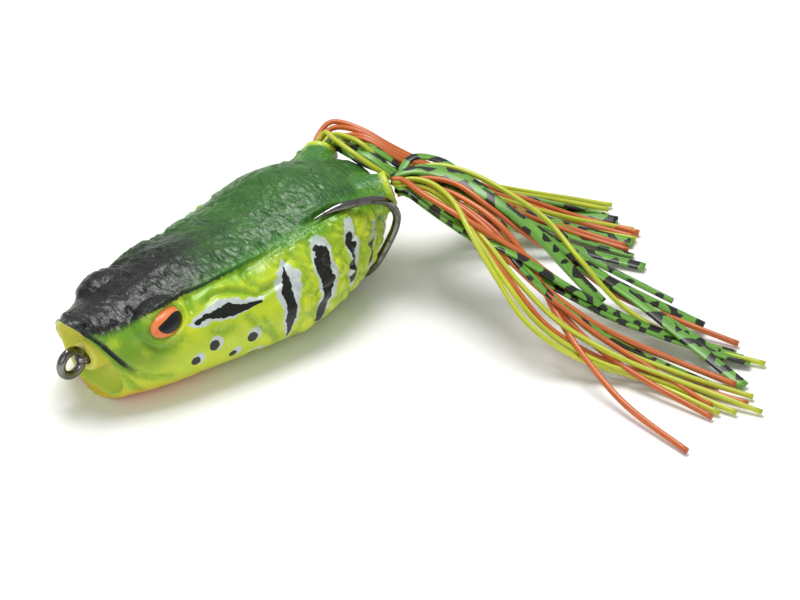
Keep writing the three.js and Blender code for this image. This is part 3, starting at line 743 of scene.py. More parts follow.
# Swellings of the flank: [centre, radii, height]
SWELLINGS = [
    ((11.2, 22.9, 12.6), (2.5, 6.5, 1.9), 0.45),
    ((10.2, 32.1, 14.1), (2.2, 2.6, 1.9), 0.5),
    ((13.6, 30.0, 9.6), (2.0, 3.0, 2.6), 0.35),
    ((10.2, 12.5, 7.3), (3.0, 5.0, 3.0), 0.25),
    ((8.8, 22.5, 14.6), (1.5, 5.0, 1.0), 0.3),
]
NOSTRIL = (2.2, 2.9, 14.4)
VENT = (0.7, 51.6, 20.3)
POINT_LEDGE = [
    [7.6, 42.5, 18.2], [7.9, 46.1, 19.0], [8.2, 49.3, 19.0], [9.2, 54.1, 18.3], [9.8, 57.0, 17.2],
]


def back_pits(points):
    """Sparse short dents in the back, from 0 to 1."""
    dents, _ = pebbles(points, 3.6, 17, (0.65, 1.5, 0.6))
    return smooth_step(dents, 0.90, 0.99)


def warped(points, size, amount, seed):
    """Points shifted by soft noise, so that an even pattern laid on them turns uneven."""
    shift = [noise_at(points, size, seed + axis) for axis in range(3)]
    return points + amount * np.stack(shift, 1)


def rear_lumps(side):
    """The knobbly skin of the rear flank: lumps from 0 to 1, and the creases between them."""
    return pebbles(warped(side, 3.6, 1.5, 41), 3.3, 11, (1, 1.05, 0.95))


def relief(points):
    """Height of the moulded skin over the plain body, in millimetres."""
    side = folded(points)
    _, y, z = side.T
    edge = above_back_edge(points)
    along, up = eye_coordinates(points)
    eye = np.hypot(along, up)
    in_mouth = in_cup(points)
    socket_along, socket_out = on_socket(points)
    rim = smooth_step(socket_along, -1.1, -0.4)
    plain = (1 - in_mouth) * (1 - rim)
    back = smooth_step(edge, -0.5, 0.7) * plain
    lip_fade = smooth_step(y, 0.7, 2.4)
    eye_fade = smooth_step(eye, 1.25, 1.6)

    height = np.zeros(len(points))
    warts, _ = pebbles(points, 1.75, 3, (0.75, 1.2, 1))
    grain, _ = pebbles(points, 0.95, 5, (0.75, 1.2, 1))
    folds = 1 - abs(noise_at(points * (0.5, 1.1, 1), 1.0, 2)) * 2
    rough = 0.8 + 0.5 * noise_at(points, 5, 4)
    height += back * lip_fade * rough * (0.13 * warts + 0.10 * grain + 0.15 * folds - 0.18)
    height -= back * lip_fade * 0.22 * back_pits(points)

    left_ledge = 0.8 * smooth_step(y, 9, 15) * (1 - smooth_step(y, 30, 38))
    right_ledge = 0.2 * smooth_step(y, 9, 15) * (1 - smooth_step(y, 42, 52))
    along_back = np.where(points[:, 0] > 0, left_ledge, right_ledge)
    height += smooth_step(edge, -0.3, 0.3) * np.exp(-np.maximum(edge, 0) / 4) * along_back * plain
    height -= 0.15 * np.exp(-((edge + 0.7) / 0.5) ** 2) * along_back * plain

    rear = smooth_step(y, 31, 38) * (1 - smooth_step(edge, -1.2, 0)) * smooth_step(z, 0.5, 2.5) * plain
    lumps, lump_creases = rear_lumps(side)
    small, _ = pebbles(side, 1.6, 13)
    height += rear * (0.60 * lumps - 0.22 * lump_creases + 0.14 * small)
    shoulder = smooth_step(y, 31, 34) * np.exp(-((edge + 1.2) / 1.5) ** 2)
    height += 0.5 * shoulder * abs(noise_at(side * (0.5, 2.2, 0.5), 1.2, 8)) * plain

    front = (1 - smooth_step(y, 30, 37)) * (1 - back) * plain * eye_fade
    height += front * 0.10 * noise_at(side, 2.6, 6)
    for route, depth, width in CREASES:
        away, where = distance_to_line(side, route)
        ends = np.clip(np.minimum(where, 1 - where) * 6 + 0.35, 0, 1)
        height -= plain * ends * depth * np.exp(-(away / width) ** 2)
        height += plain * ends * 0.35 * depth * np.exp(-((away - 1.7 * width) / width) ** 2)
    for centre, radii, tall in SWELLINGS:
        height += tall * np.exp(-(((side - centre) / radii) ** 2).sum(1)) * plain

    height += np.where(eye < 1, 0.28 * (1 - eye**2), 0)
    height -= 0.30 * np.exp(-((eye - 1.09) / 0.07) ** 2)
    height += 0.25 * np.exp(-((eye - 1.30) / 0.12) ** 2) * (1 - back * 0.7)
    for spot, ring, pit in ((NOSTRIL, 0.75, 0.5), (VENT, 1.0, 0.0)):
        measured = side if spot is NOSTRIL else points
        away = np.linalg.norm(measured - spot, axis=1)
        height += 0.22 * np.exp(-((away - ring) / 0.3) ** 2) - pit * np.exp(-(away / 0.4) ** 2)

    away, where = distance_to_line(points, POINT_LEDGE)
    height += 0.55 * np.exp(-(away / 0.75) ** 2) * np.clip(np.minimum(where, 1 - where) * 5 + 0.2, 0, 1)
    skirt = smooth_step(socket_along, -6.5, -3) * (socket_out < 4.4) * (1 - rim)
    height += skirt * 0.10 * noise_at(points * (1, 0.6, 1.5), 1.4, 9)
    return height


SHANK_ROUTE = [
    [0.62, 2.9, 7.4], [0.62, 8, 7.3], [0.62, 16, 6.5], [0.62, 28, 5.2], [0.62, 40, 4.3], [1.3, 46, 3.4],
    [3.4, 51, 2.2], [5.6, 54.4, 1.6],
]
# Bends of the hook, which lies rolled in the body: [side, route, barb, groove's route, radius and outside]
LEFT_BEND = (
    1,
    [[7.3, 56.4, 2.1], [9.0, 57.5, 4.5], [10.3, 59.0, 8.5], [11.0, 59.8, 11.4], [11.2, 59.7, 13.8],
     [11.3, 57.7, 16.6], [10.9, 54.5, 18.3], [9.7, 49.2, 18.9], [9.1, 46.6, 18.7], [8.8, 43.6, 18.4]],
    ([9.4, 48.3, 18.4], [-0.35, 0.12, -0.9]),
    ([[11.3, 57.7, 16.6], [10.9, 54.5, 18.3], [9.7, 49.2, 18.9], [9.1, 46.6, 18.7], [8.8, 43.6, 18.4],
      [8.6, 42.4, 18.4]], 0.9, (0.35, 0, 0.94)),
)
RIGHT_BEND = (
    -1,
    [[-7.4, 56.8, 1.7], [-9.6, 58.9, 3.0], [-11.5, 59.8, 5.0], [-12.9, 59.8, 7.0], [-14.4, 57.8, 9.4],
     [-14.9, 54.5, 11.0], [-14.3, 49.2, 12.0], [-13.8, 46.6, 12.1], [-13.4, 43.6, 12.05]],
    ([-13.85, 48.3, 11.6], [0.9, 0.12, -0.35]),
    ([[-15, 54.5, 11.9], [-14.4, 50, 12.8], [-13.8, 46.6, 12.8], [-13.45, 43.6, 12.7], [-13.3, 42.2, 12.7]],
     1.4, (-0.95, 0, 0.3)),
)
BENDS = (LEFT_BEND, RIGHT_BEND)
WIRE_RADIUS = 0.68


def press_groove(points, route, radius, outside):
    """Pushes the skin clear of a wire that lies on it."""
    line = smooth_curve(route, 60)
    best = np.full(len(points), 1e9)
    nearest = np.zeros_like(points)
    for spot in line:
        away = np.linalg.norm(points - spot, axis=1)
        closer = away < best
        best = np.where(closer, away, best)
        nearest[closer] = spot
    direction = unit(points - nearest)
    facing_out = (direction @ outside)[:, None] > -0.2
    direction = unit(np.where(facing_out, direction - 1.6 * np.asarray(outside), direction))
    pressed = nearest + direction * radius
    return np.where((best < radius)[:, None] & (points[:, 1] < 60)[:, None], pressed, points)


def body_shape():
    """The outer skin with its cupped mouth, brows and leg sockets, as one even mesh."""
    distances = np.concatenate([
        np.linspace(0, 14, 20, endpoint=False),
        np.linspace(14, 56, 40, endpoint=False),
        np.linspace(56, BODY_END, 14),
    ])
    skin = loft_shape([body_ring(d, 96, lower=BELLY_FLAT) for d in distances])
    body = working(skin)
    boolean(body, loft_shape([body_ring(0, 72, inset, depth) for depth, inset in CUP_PROFILE]))
    corners = ((-30, -20), (30, -20), (30, 80), (-30, 80))
    below_floor = np.array([[x, y, z] for z in (-10, 0) for x, y in corners])
    boolean(body, (below_floor, ring_faces(2, 4)))
    socket_profile = [(0, -9.5), (5, -9.5), (4.3, -6), (3.3, -2.6), (2.9, -1), (3, 0), (0, 0)]
    extras = [
        lathe_shape([(0, 0), (2.2, 0), (2.5, 0.3), (3.3, 6.8), (0, 6.8)], 40, (0, 3.7, 7.4), (0, 1, 0)),
        both_sides(ball_shape((6.1, 13.2, 11.6), (3.7, 5.2, 3.8))),
        both_sides(lathe_shape(socket_profile, 40, LEG_MOUTH, LEG_DIRECTION)),
    ]
    points, faces = merge_shapes(extras)
    count = len(body.data.vertices)
    whole = [tuple(p.vertices) for p in body.data.polygons]
    whole += [tuple(i + count for i in face) for face in faces]
    joined = mesh_object("painted_body", np.vstack([points_of(body), points]), whole)
    outward(joined)
    bpy.data.objects.remove(body)
    remesh(joined, VOXEL)
    relax(joined, 4)
    return joined


def hollow_out(body):
    rings = [body_ring(d, 48, WALL) for d in (11, 13, 16, 20, 25, 30, 35, 40, 46, 50, 53, 56, 58.5, 60)]
    boolean(body, loft_shape(rings))
    slot_outline = round_outline(24)
    bore = [np.array([[1.5 * a, y, 7.3 + 1.1 * b] for a, b in slot_outline]) for y in (1.5, 15.5)]
    boolean(body, loft_shape(bore))
    leg_bore = [(0, -10.5), (2.3, -10.5), (2.3, -1.6), (2.45, -0.6), (2.7, 0), (2.7, 1), (0, 1)]
    boolean(body, both_sides(lathe_shape(leg_bore, 32, LEG_MOUTH, LEG_DIRECTION)))
    window = [(2.7, 43), (3.1, 46.5), (5.4, 51), (7.3, 54.6), (7.3, 57.6), (3, 58.6)]
    outline = window + [(-x, y) for x, y in reversed(window)]
    boolean(body, loft_shape([np.array([[x, y, z] for x, y in outline]) for z in (-2, 6.5)]))
    boolean(body, lathe_shape([(0, -3), (0.6, -3), (0.6, 3), (0, 3)], 16, VENT, (0, 0, 1)))


def make_body():
    body = body_shape()
    points = points_of(body)
    raised = points + normals_of(body) * relief(points)[:, None]
    raised[:, 2] = np.maximum(raised[:, 2], 0)
    for _, _, _, (route, radius, outside) in BENDS:
        raised = press_groove(raised, route, radius, outside)
    set_points(body, raised)
    relax(body, 1, 0.3)
    hollow_out(body)
    return body


# ---- Paint: signed distances over the skin, in millimetres ----
# Black marks and the pale halos round them: [x, y, z, half width]
MARKS = [
    [[10.4, 16.2, 12.2, 0.05], [10.8, 17.5, 12.2, 0.41], [10.8, 18.8, 12.6, 0.32], [11.5, 21.0, 12.4, 0.8],
     [11.9, 22.8, 12.5, 1.1], [12.5, 25.4, 12.1, 0.58], [12.9, 28.6, 12.0, 0.2]],
    [[10.7, 35.1, 14.9, 0], [12.5, 34.3, 13.3, 0.63], [13.6, 33.6, 11.8, 0.88], [14.5, 33.5, 9.9, 0.85],
     [14.7, 33.2, 8.7, 0.95], [14.7, 32.7, 7.0, 0.68], [13.9, 32.7, 4.1, 0.1]],
    [[10.7, 42.1, 16.4, 0], [11.8, 41.4, 15.3, 0.68], [12.7, 41.9, 14.5, 1.23], [13.4, 41.1, 13.5, 1.36],
     [14.1, 40.8, 12.1, 1.23], [14.5, 41.0, 11.0, 1.3], [14.8, 40.5, 9.7, 0.82], [14.9, 39.7, 8.1, 0.96],
     [14.7, 39.1, 6.5, 1.09], [14.0, 38.5, 4.3, 0.2]],
    [[10.6, 48.5, 16.9, 0.1], [11.9, 48.0, 15.5, 0.46], [12.8, 47.4, 14.2, 0.82], [13.2, 47.4, 13.5, 1.09],
     [13.6, 47.0, 12.7, 0.3], [13.9, 47.0, 11.1, 0.96], [13.8, 47.4, 9.6, 0.35], [14.0, 46.5, 8.5, 0.6],
     [13.8, 46.6, 7.7, 0.1]],
    [[11.7, 53.5, 12.4, 0.1], [12.3, 52.4, 11.8, 0.85], [12.5, 52.1, 10.6, 0.68], [12.6, 51.6, 9.4, 0.35],
     [12.8, 50.9, 8.8, 0.1]],
]
HALOS = [
    [[10.4, 15.9, 12.1, 0.2], [10.8, 17.5, 12.2, 0.92], [11.0, 19.5, 12.6, 1.15], [11.3, 21.3, 12.8, 1.6],
     [11.8, 23.4, 12.6, 1.65], [12.3, 25.6, 12.3, 0.97], [12.5, 28.1, 12.5, 0.6], [12.6, 30.0, 12.5, 0.1]],
    [[10.0, 35.5, 15.3, 0.1], [12.4, 34.8, 13.5, 2.1], [13.6, 33.9, 11.9, 2.4], [14.4, 33.3, 10.0, 1.64],
     [14.7, 33.1, 8.3, 1.5], [14.6, 32.6, 6.1, 0.87], [13.7, 32.8, 3.8, 0.1]],
    [[9.7, 42.3, 17.0, 0.1], [11.1, 42.2, 16.0, 1.36], [12.6, 41.9, 14.7, 1.86], [13.6, 41.0, 13.2, 1.72],
     [14.4, 41.3, 11.5, 2.1], [14.8, 40.6, 9.6, 1.5], [14.9, 39.7, 8.1, 1.5], [14.5, 39.0, 5.4, 1.1],
     [13.9, 38.5, 4.0, 0.1]],
    [[10.2, 48.0, 17.4, 0.1], [10.9, 48.6, 16.7, 1.1], [12.5, 48.0, 14.8, 1.28], [13.4, 47.6, 13.0, 1.5],
     [13.8, 47.3, 10.9, 1.28], [14.0, 46.6, 8.9, 0.96], [13.6, 46.8, 6.9, 0.1]],
    [[10.9, 54.6, 13.6, 0.65], [12.0, 53.0, 12.4, 0.95], [12.5, 52.1, 10.6, 0.87], [12.5, 51.6, 8.2, 0.4]],
]
# Black dots: [centre, radius]
DOTS = [
    ((11.6, 16.0, 6.3), 0.8),
    ((12.5, 19.1, 8.0), 0.9),
    ((12.7, 22.6, 5.0), 0.7),
    ((13.8, 25.8, 7.2), 0.9),
]
DOT_HALO_SHIFT = np.array([0, 0.5, 0.35])
SLIT = [[12.3, 25.7, 2.9, 0.25], [12.6, 26.6, 3.3, 0.3], [12.9, 27.7, 3.6, 0.15]]
SLIT_HALO = [[12.5, 26.6, 3.9, 0.35], [12.9, 27.9, 4.2, 0.55], [12.9, 28.6, 3.9, 0.3]]


def skin_tree(points):
    tree = KDTree(len(points))
    for i, point in enumerate(points):
        tree.insert(point, i)
    tree.balance()
    return tree


def painted_distance(side, tree, rows):
    """Distance to the edge of a mark whose middle line is laid on the skin."""
    rows = np.array(rows)
    steps = np.linspace(0, len(rows) - 1, 5 * len(rows) - 4)
    columns = [np.interp(steps, range(len(rows)), rows[:, k]) for k in range(4)]
    middle = [list(tree.find(place)[0]) for place in np.stack(columns[:3], 1)]
    away, where = distance_to_line(side, middle)
    return away - np.interp(where * (len(steps) - 1), range(len(steps)), columns[3])


def paint(piece):
    """Stores what the skin material needs at every point, all in millimetres or from 0 to 1."""
    points = points_of(piece)
    side = folded(points)
    y = side[:, 1]
    teeth = 0.30 * noise_at(side, 1.1, 21) + 0.16 * noise_at(side, 0.55, 22)
    tree = skin_tree(side)
    mark = np.min([painted_distance(side, tree, rows) for rows in MARKS + [SLIT]], axis=0)
    halo = np.min([painted_distance(side, tree, rows) for rows in HALOS + [SLIT_HALO]], axis=0)
    dots = [[[*spot, radius], [*spot, radius]] for spot, radius in DOTS]
    dot_halos = [[[*(spot + DOT_HALO_SHIFT), radius + 0.3]] * 2 for spot, radius in DOTS]
    spots = np.min([painted_distance(side, tree, rows) for rows in dots], axis=0)
    spot_halos = np.min([painted_distance(side, tree, rows) for rows in dot_halos], axis=0)
    outside = depth_inside(points) < 0.9
    add_float(piece, "mark", np.where(outside, np.minimum(mark + teeth * 0.7, spots + teeth * 0.25), 9))
    add_float(piece, "halo", np.where(outside, np.minimum(halo + teeth, spot_halos + teeth * 0.35), 9))
    add_float(piece, "edge", above_back_edge(points))
    along, up = eye_coordinates(points)
    add_float(piece, "eye", np.hypot(along, up))
    front_power = np.where(along < 0.1, 1.45, 2.4)
    pupil = abs((along - 0.12) / 0.86) ** front_power + abs((up - 0.03) / 0.72) ** front_power
    add_float(piece, "pupil", pupil)

    # Painted shade: darker green where shadow falls, in the creases between the rear lumps and along the
    # moulded creases.
    _, lump_creases = rear_lumps(side)
    creases = 0.95 * lump_creases * smooth_step(y, 31, 37)
    for route, _, width in CREASES:
        away, _ = distance_to_line(side, route)
        creases = np.maximum(creases, 0.9 * np.exp(-(away / (1.6 * width)) ** 2))
    add_float(piece, "crease_shade", creases)
    away, where = distance_to_line(side, LIP_CREASE)
    add_float(piece, "lip_line", np.exp(-(away / 0.50) ** 2) * (1 - smooth_step(where, 0.50, 0.95)))
    # Painted shade: the back is darkened in its dents and between its warts, where shadow falls.
    warts, _ = pebbles(points, 1.75, 3, (0.75, 1.2, 1))
    add_float(piece, "pit", np.maximum(back_pits(points), 0.5 * (1 - warts) ** 2))
    add_float(piece, "mouth", in_cup(points))
    add_float(piece, "inside", smooth_step(depth_inside(points), 0.9, 1.3) * (y >= 10))
    socket_along, socket_out = on_socket(points)
    add_float(piece, "socket", socket_along + 99 * (socket_out > 4.6))
    add_float(piece, "bore", smooth_step(-socket_out, -2.75, -2.45) * (socket_along > -9.5))


def skin_material():
    """Airbrushed soft plastic under a clear gloss, with shade painted into its creases and dents."""
    shader = Shader("painted_skin")
    where = shader.node("ShaderNodeSeparateXYZ")
    shader.tree.links.new(shader.place, where.inputs[0])
    _, frame_y, height = where.outputs
    along = shader.math("SUBTRACT", frame_y, LIP_Y)
    fine = shader.noise(1.7, 3)
    soft = shader.noise(0.28, 3)
    spray = shader.noise(9.0, 1)
    ragged = shader.math("MULTIPLY", shader.math("SUBTRACT", fine, 0.5), 0.5)

    flank = shader.mix(shader.smooth(soft, 0.35, 0.7), rgb(206, 220, 46), rgb(188, 212, 44))
    edge = shader.attribute("edge")
    ragged_edge = shader.math("ADD", edge, shader.math("MULTIPLY", ragged, 2.2))
    green_near_back = shader.math("MULTIPLY", shader.smooth(ragged_edge, -4.4, -0.4),
                                  shader.smooth(soft, 0.25, 0.6))
    color = shader.mix(shader.math("MULTIPLY", green_near_back, 0.75), flank, rgb(112, 176, 36))
    # Painted shade: the crease mask darkens the flank green where shadow falls in the creases.
    crease_shade = shader.math("MULTIPLY", shader.attribute("crease_shade"), shader.smooth(fine, 0.1, 0.6))
    color = shader.mix(shader.math("MULTIPLY", crease_shade, 0.72), color, rgb(98, 158, 34))
    head_shade = shader.math("MULTIPLY", shader.smooth(along, 15.5, 9), shader.smooth(height, 4, 10.5))
    head_shade = shader.math("MULTIPLY", head_shade, shader.smooth(soft, 0.1, 0.5))
    color = shader.mix(shader.math("MULTIPLY", head_shade, 0.85), color, rgb(96, 146, 34))
    low = shader.math("ADD", height, shader.math("MULTIPLY", ragged, 1.6))
    behind_lip = shader.smooth(along, 4, 8)
    chin = shader.math("MULTIPLY", shader.smooth(low, 4.4, 0.3), shader.smooth(along, 30, 14))
    chin = shader.math("MULTIPLY", chin, behind_lip)
    color = shader.mix(shader.math("MULTIPLY", chin, 0.9), color, rgb(246, 176, 42))
    belly = shader.math("MULTIPLY", shader.smooth(low, 1.2, 0.0), shader.smooth(along, 26, 12))
    belly = shader.math("MULTIPLY", belly, behind_lip)
    color = shader.mix(shader.math("MULTIPLY", belly, 0.8), color, rgb(240, 120, 40))
    grain = shader.math("MULTIPLY", shader.smooth(spray, 0.55, 0.75), 0.16)
    color = shader.mix(grain, color, rgb(140, 180, 34))

    halo = shader.math("ADD", shader.attribute("halo"), shader.math("MULTIPLY", ragged, 0.35))
    pale = shader.mix(shader.smooth(fine, 0.3, 0.7), rgb(188, 200, 196), rgb(205, 214, 208))
    color = shader.mix(shader.smooth(halo, 0.07, -0.07), color, pale)
    mark = shader.math("ADD", shader.attribute("mark"), shader.math("MULTIPLY", ragged, 0.30))
    black = shader.mix(shader.smooth(fine, 0.45, 0.75), rgb(14, 17, 12), rgb(26, 34, 20))
    color = shader.mix(shader.smooth(mark, 0.05, -0.05), color, black)

    green = shader.mix(shader.smooth(soft, 0.3, 0.7), rgb(38, 94, 24), rgb(56, 112, 32))
    green = shader.mix(shader.math("MULTIPLY", shader.smooth(fine, 0.35, 0.7), 0.5), green, rgb(30, 80, 22))
    # Painted shade: near-black green in the dents and between the warts of the back.
    pit_shade = shader.math("MULTIPLY", shader.attribute("pit"), shader.smooth(fine, 0.40, 0.62))
    green = shader.mix(shader.math("MULTIPLY", pit_shade, 0.65), green, rgb(12, 44, 14))
    near_edge = shader.smooth(shader.math("ADD", edge, shader.math("MULTIPLY", ragged, 3)), 2.2, 0.2)
    middle = shader.smooth(along, 26, 36)
    green = shader.mix(shader.math("MULTIPLY", near_edge, 0.55), green, rgb(74, 150, 30))
    head = shader.math("ADD", along, shader.math("MULTIPLY", shader.math("SUBTRACT", soft, 0.5), 9))
    head = shader.math("SUBTRACT", head, shader.math("MULTIPLY", edge, 0.9))
    head = shader.math("ADD", head, shader.math("MULTIPLY", ragged, 5))
    head_black = shader.smooth(head, 31, 11)
    green = shader.mix(head_black, green, rgb(13, 17, 13))
    dark_line = shader.math("MULTIPLY", shader.smooth(edge, 0.75, 0.25), shader.smooth(along, 34, 24))
    green = shader.mix(shader.math("MULTIPLY", dark_line, 0.8), green, rgb(13, 26, 10))
    back_line = shader.math("ADD", edge, shader.math("MULTIPLY", ragged, 1.5))
    nose = shader.smooth(along, 13, 8)
    front_edge = shader.smooth(shader.math("ADD", back_line, ragged), -0.9, 0.5)
    rear_edge = shader.smooth(back_line, -0.10, 0.22)
    tail_line = shader.math("ADD", back_line, shader.math("MULTIPLY", ragged, 2.5))
    tail_edge = shader.smooth(tail_line, -3.0, 1.2)
    back = shader.mix(nose, rear_edge, front_edge)
    back = shader.mix(middle, back, tail_edge)
    color = shader.mix(back, color, green)
    lip_line = shader.math("ADD", shader.attribute("lip_line"), shader.math("MULTIPLY", ragged, 0.5))
    color = shader.mix(shader.smooth(lip_line, 0.35, 0.7), color, rgb(14, 24, 12))

    socket = shader.attribute("socket")
    in_socket = shader.math("MULTIPLY", shader.smooth(socket, -7.5, -4.5), shader.smooth(socket, 3, 2.5))
    facing = shader.math("ADD", shader.node_up(), shader.math("MULTIPLY", ragged, 1.4))
    tube = shader.mix(shader.smooth(facing, 0.5, 1.0), rgb(118, 170, 48), rgb(54, 118, 40))
    tube = shader.mix(shader.smooth(facing, 0.35, -0.3), tube, rgb(176, 206, 54))
    tube = shader.mix(shader.smooth(socket, -1.5, -0.5), tube, rgb(196, 216, 60))
    color = shader.mix(in_socket, color, tube)

    eye = shader.attribute("eye")
    pupil = shader.math("ADD", shader.attribute("pupil"), shader.math("MULTIPLY", ragged, 0.12))
    iris = shader.mix(shader.smooth(fine, 0.3, 0.7), rgb(238, 118, 62), rgb(232, 134, 74))
    iris = shader.mix(shader.smooth(pupil, 1.06, 0.98), iris, rgb(10, 11, 12))
    color = shader.mix(shader.smooth(eye, 1.16, 1.06), color, shader.mix(0.45, color, rgb(70, 110, 24)))
    color = shader.mix(shader.smooth(eye, 1.03, 1.0), color, iris)

    cup = shader.mix(shader.smooth(soft, 0.3, 0.7), rgb(226, 222, 96), rgb(212, 214, 84))
    cup = shader.mix(shader.smooth(height, 4.5, 1.5), cup, rgb(196, 220, 84))
    mouth = shader.attribute("mouth")
    color = shader.mix(mouth, color, cup)
    hidden = shader.math("MAXIMUM", shader.attribute("inside"), shader.attribute("bore"))
    color = shader.mix(hidden, color, rgb(196, 206, 78))

    roughness = shader.mix(mouth, rgb_value(0.30), rgb_value(0.55))
    roughness = shader.mix(shader.smooth(fine, 0.3, 0.75), roughness, rgb_value(0.38))
    shader.set(Base_Color=color, Roughness=roughness, Subsurface_Weight=0.06)
    shader.set(Subsurface_Radius=(0.0010, 0.0009, 0.0003), Subsurface_Scale=1.0)
    shader.set(Coat_Weight=0.14, Coat_Roughness=0.16, Specular_IOR_Level=0.42)
    wave = shader.noise(1.1, 2, stretch=(0.6, 1.3, 1), distortion=0.5)
    wrinkles = shader.smooth(shader.math("ABSOLUTE", shader.math("SUBTRACT", wave, 0.5)), 0.09, 0.0)
    leather = shader.math("ADD", shader.noise(3.2, 3), shader.math("MULTIPLY", wrinkles, 0.9))
    leather = shader.math("MULTIPLY", leather, shader.math("ADD", shader.smooth(edge, -1, 1), 0.2))
    shader.bump(leather, 0.07, 0.7)
    return shader.material


def rgb_value(value):
    return (value, value, value, 1)


# ---- Hook, collars and weight ----
def metal_material(name, color, roughness, stain, scale):
    """Metal with faint drawing marks and a few duller patches."""
    shader = Shader(name)
    streaks = shader.noise(scale, 3, stretch=(1, 0.25, 1))
    patches = shader.noise(0.7, 3)
    tone = shader.mix(shader.smooth(patches, 0.45, 0.75), color, stain)
    shader.set(Base_Color=tone, Metallic=1.0)
    low = shader.mix(shader.smooth(streaks, 0.3, 0.7), rgb_value(roughness), rgb_value(roughness + 0.10))
    low = shader.mix(shader.smooth(patches, 0.55, 0.75), low, rgb_value(roughness + 0.2))
    shader.set(Roughness=low)
    shader.bump(streaks, 0.012, 0.5)
    return shader.material


def rubber_material():
    shader = Shader("collar_rubber_skin")
    mottle = shader.noise(1.2, 4)
    dust = shader.noise(6, 2)
    color = shader.mix(shader.smooth(mottle, 0.35, 0.65), rgb(28, 30, 28), rgb(44, 46, 42))
    color = shader.mix(shader.math("MULTIPLY", shader.smooth(dust, 0.6, 0.75), 0.4), color, rgb(90, 92, 84))
    shader.set(Base_Color=color, Roughness=0.62)
    shader.bump(dust, 0.03, 0.6)
    return shader.material


def hook_wire(side, route):
    """One side of the double hook: a round wire that ends in a slender point."""
    shank = [[side * x, y, z] for x, y, z in SHANK_ROUTE]
    line = smooth_curve(shank + route, 260)
    left = np.linalg.norm(np.diff(line[::-1], axis=0), axis=1).cumsum()[::-1]
    left = np.append(left, 0)
    radii = WIRE_RADIUS * (0.05 + 0.95 * np.clip(left / 5.5, 0, 1) ** 0.72)
    skin = sweep(line, round_outline(20), radii, radii, up=(0.3, 0, 1))
    return skin.reshape(-1, 3), ring_faces(len(line), 20)


def barb_shape(place, lean):
    """A small fin cut up from the wire, leaning away from the point."""
    along = unit(np.array([0.35 * np.sign(place[0]), 1.0, 0.1]))
    out = np.array(lean)
    side = unit(np.cross(along, out))
    rings = []
    for step, height, half in ((-1.5, 0.1, 0.28), (-0.4, 0.5, 0.24), (0.6, 0.95, 0.14), (1.05, 1.15, 0.05)):
        base = np.array(place) + along * step
        narrow = side * half * 0.4
        rings.append(np.array([base - side * half, base + side * half,
                               base + narrow + out * height, base - narrow + out * height]))
    return loft_shape(rings)


def ring_shape(centre, radius, wire, turns=64, sides=20):
    points = []
    for turn in 2 * math.pi * np.arange(turns) / turns:
        for angle in 2 * math.pi * np.arange(sides) / sides:
            out = radius + wire * math.cos(angle)
            points.append((centre[0] + wire * math.sin(angle), centre[1] + out * math.cos(turn),
                           centre[2] + out * math.sin(turn)))
    faces = []
    for i in range(turns):
        for j in range(sides):
            k, m = (i + 1) % turns, (j + 1) % sides
            faces.append((i * sides + j, i * sides + m, k * sides + m, k * sides + j))
    return np.array(points), faces


def make_hook(material):
    braze = ball_shape((0, 3.4, 7.4), (1.25, 1.5, 0.95), 16, 24)
    bend = lathe_shape([(0, -5), (0.5, -4.6), (0.72, -2), (0.72, 2), (0.5, 4.6), (0, 5)], 20, (0, 22, 5.85),
                       unit(np.array([0, 12, -1.35])))
    pieces = [ring_shape(RING_CENTRE, 2.05, 0.72), braze, bend]
    for side, route, barb, _ in BENDS:
        pieces += [hook_wire(side, route), barb_shape(*barb)]
    shape = merge_shapes(pieces)
    hook = mesh_object("black_nickel_hook", *shape, material)
    outward(hook)
    finish(hook, "hook", "hook_wire", "double_hook")


def finish(piece, body, slot, *nodes):
    set_points(piece, to_frame(points_of(piece)))
    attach(piece, body)
    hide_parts(*nodes)


def make_collars(material):
    profile = [(0, -1.3), (1.45, -1.3), (1.62, -1.15), (1.68, -0.9), (1.62, -0.75), (1.85, -0.6),
               (1.97, -0.2), (1.97, 0.2), (1.85, 0.6), (1.62, 0.75), (1.68, 0.9), (1.62, 1.15),
               (1.45, 1.3), (0, 1.3)]
    centre = LEG_MOUTH - LEG_DIRECTION * 1.2
    for name, mirror in (("left", 1), ("right", -1)):
        shape = lathe_shape(profile, 40, centre, LEG_DIRECTION)
        if mirror < 0:
            shape = mirrored_shape(shape)
        collar = mesh_object(f"{name}_rubber_collar", *shape, material)
        finish(collar, f"{name}_leg", "collar_rubber", f"{name}_skirt_collar")


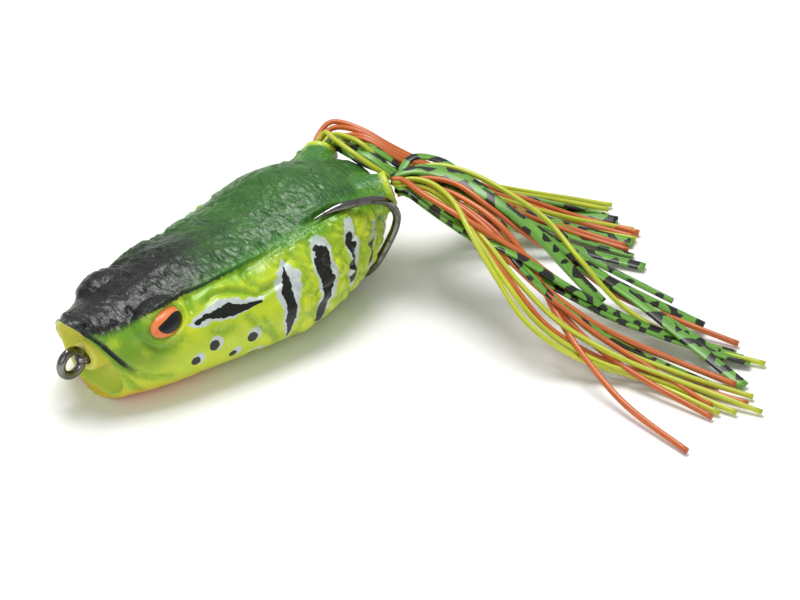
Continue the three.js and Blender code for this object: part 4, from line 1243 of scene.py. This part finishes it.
def make_weight(material):
    """A cast egg with a faint parting line and a sprue mark."""
    points, faces = ball_shape((0, 34.5, 4.9), (3.3, 6.2, 2.1), 48, 72)
    away = points - (0, 34.5, 4.9)
    out = unit(away / np.array([3.3, 6.2, 2.1]) ** 2)
    seam = np.exp(-(away[:, 2] / 0.14) ** 2)
    dimples = noise_at(points, 1.1, 31)
    sprue = np.exp(-(np.linalg.norm(away - (0, 6.1, 0), axis=1) / 0.6) ** 2)
    points = points + out * (0.09 * seam + 0.03 * dimples - 0.10 * sprue)[:, None]
    weight = mesh_object("cast_keel_weight", points, faces, material)
    finish(weight, "body", "weight_metal", "keel_weight")


painted_body = make_body()
paint(painted_body)
painted_body.data.materials.clear()
painted_body.data.materials.append(skin_material())
finish(painted_body, "body", "soft_shell", "body_shell")
painted_body.data.set_sharp_from_angle(angle=math.radians(50))
make_hook(metal_material("black_nickel", rgb(132, 131, 128), 0.10, rgb(92, 88, 82), 2.0))
make_collars(rubber_material())
make_weight(metal_material("cast_lead", rgb(132, 134, 138), 0.42, rgb(96, 98, 104), 1.5))


# ---- Floor and light ----
def make_floor():
    size = 1.5
    floor = mesh_object("floor", [(-size, -size, 0), (size, -size, 0), (size, size, 0), (-size, size, 0)],
                        [(0, 1, 2, 3)])
    shader = Shader("white_floor")
    shader.set(Base_Color=rgb(250, 250, 250), Roughness=0.36)
    floor.data.materials.append(shader.material)


def make_light(name, place, target, size, power):
    data = bpy.data.lights.new(name, "AREA")
    data.shape = "RECTANGLE"
    data.size, data.size_y = size
    data.energy = power
    light = bpy.data.objects.new(name, data)
    light.location = place
    direction = Vector(target) - Vector(place)
    light.rotation_euler = direction.to_track_quat("-Z", "Y").to_euler()
    bpy.context.collection.objects.link(light)


make_floor()
make_light("key", (-0.14, 0.10, 0.60), (0.01, 0.01, 0), (0.34, 0.34), 3.4)
make_light("fill", (0.40, -0.50, 0.35), (0.02, 0.01, 0), (0.5, 0.4), 1.2)
world = bpy.data.worlds.new("studio")
world.use_nodes = True
world.node_tree.nodes["Background"].inputs["Color"].default_value = (1, 1, 1, 1)
world.node_tree.nodes["Background"].inputs["Strength"].default_value = 0.42
bpy.context.scene.world = world
bpy.context.scene.view_settings.view_transform = "Standard"
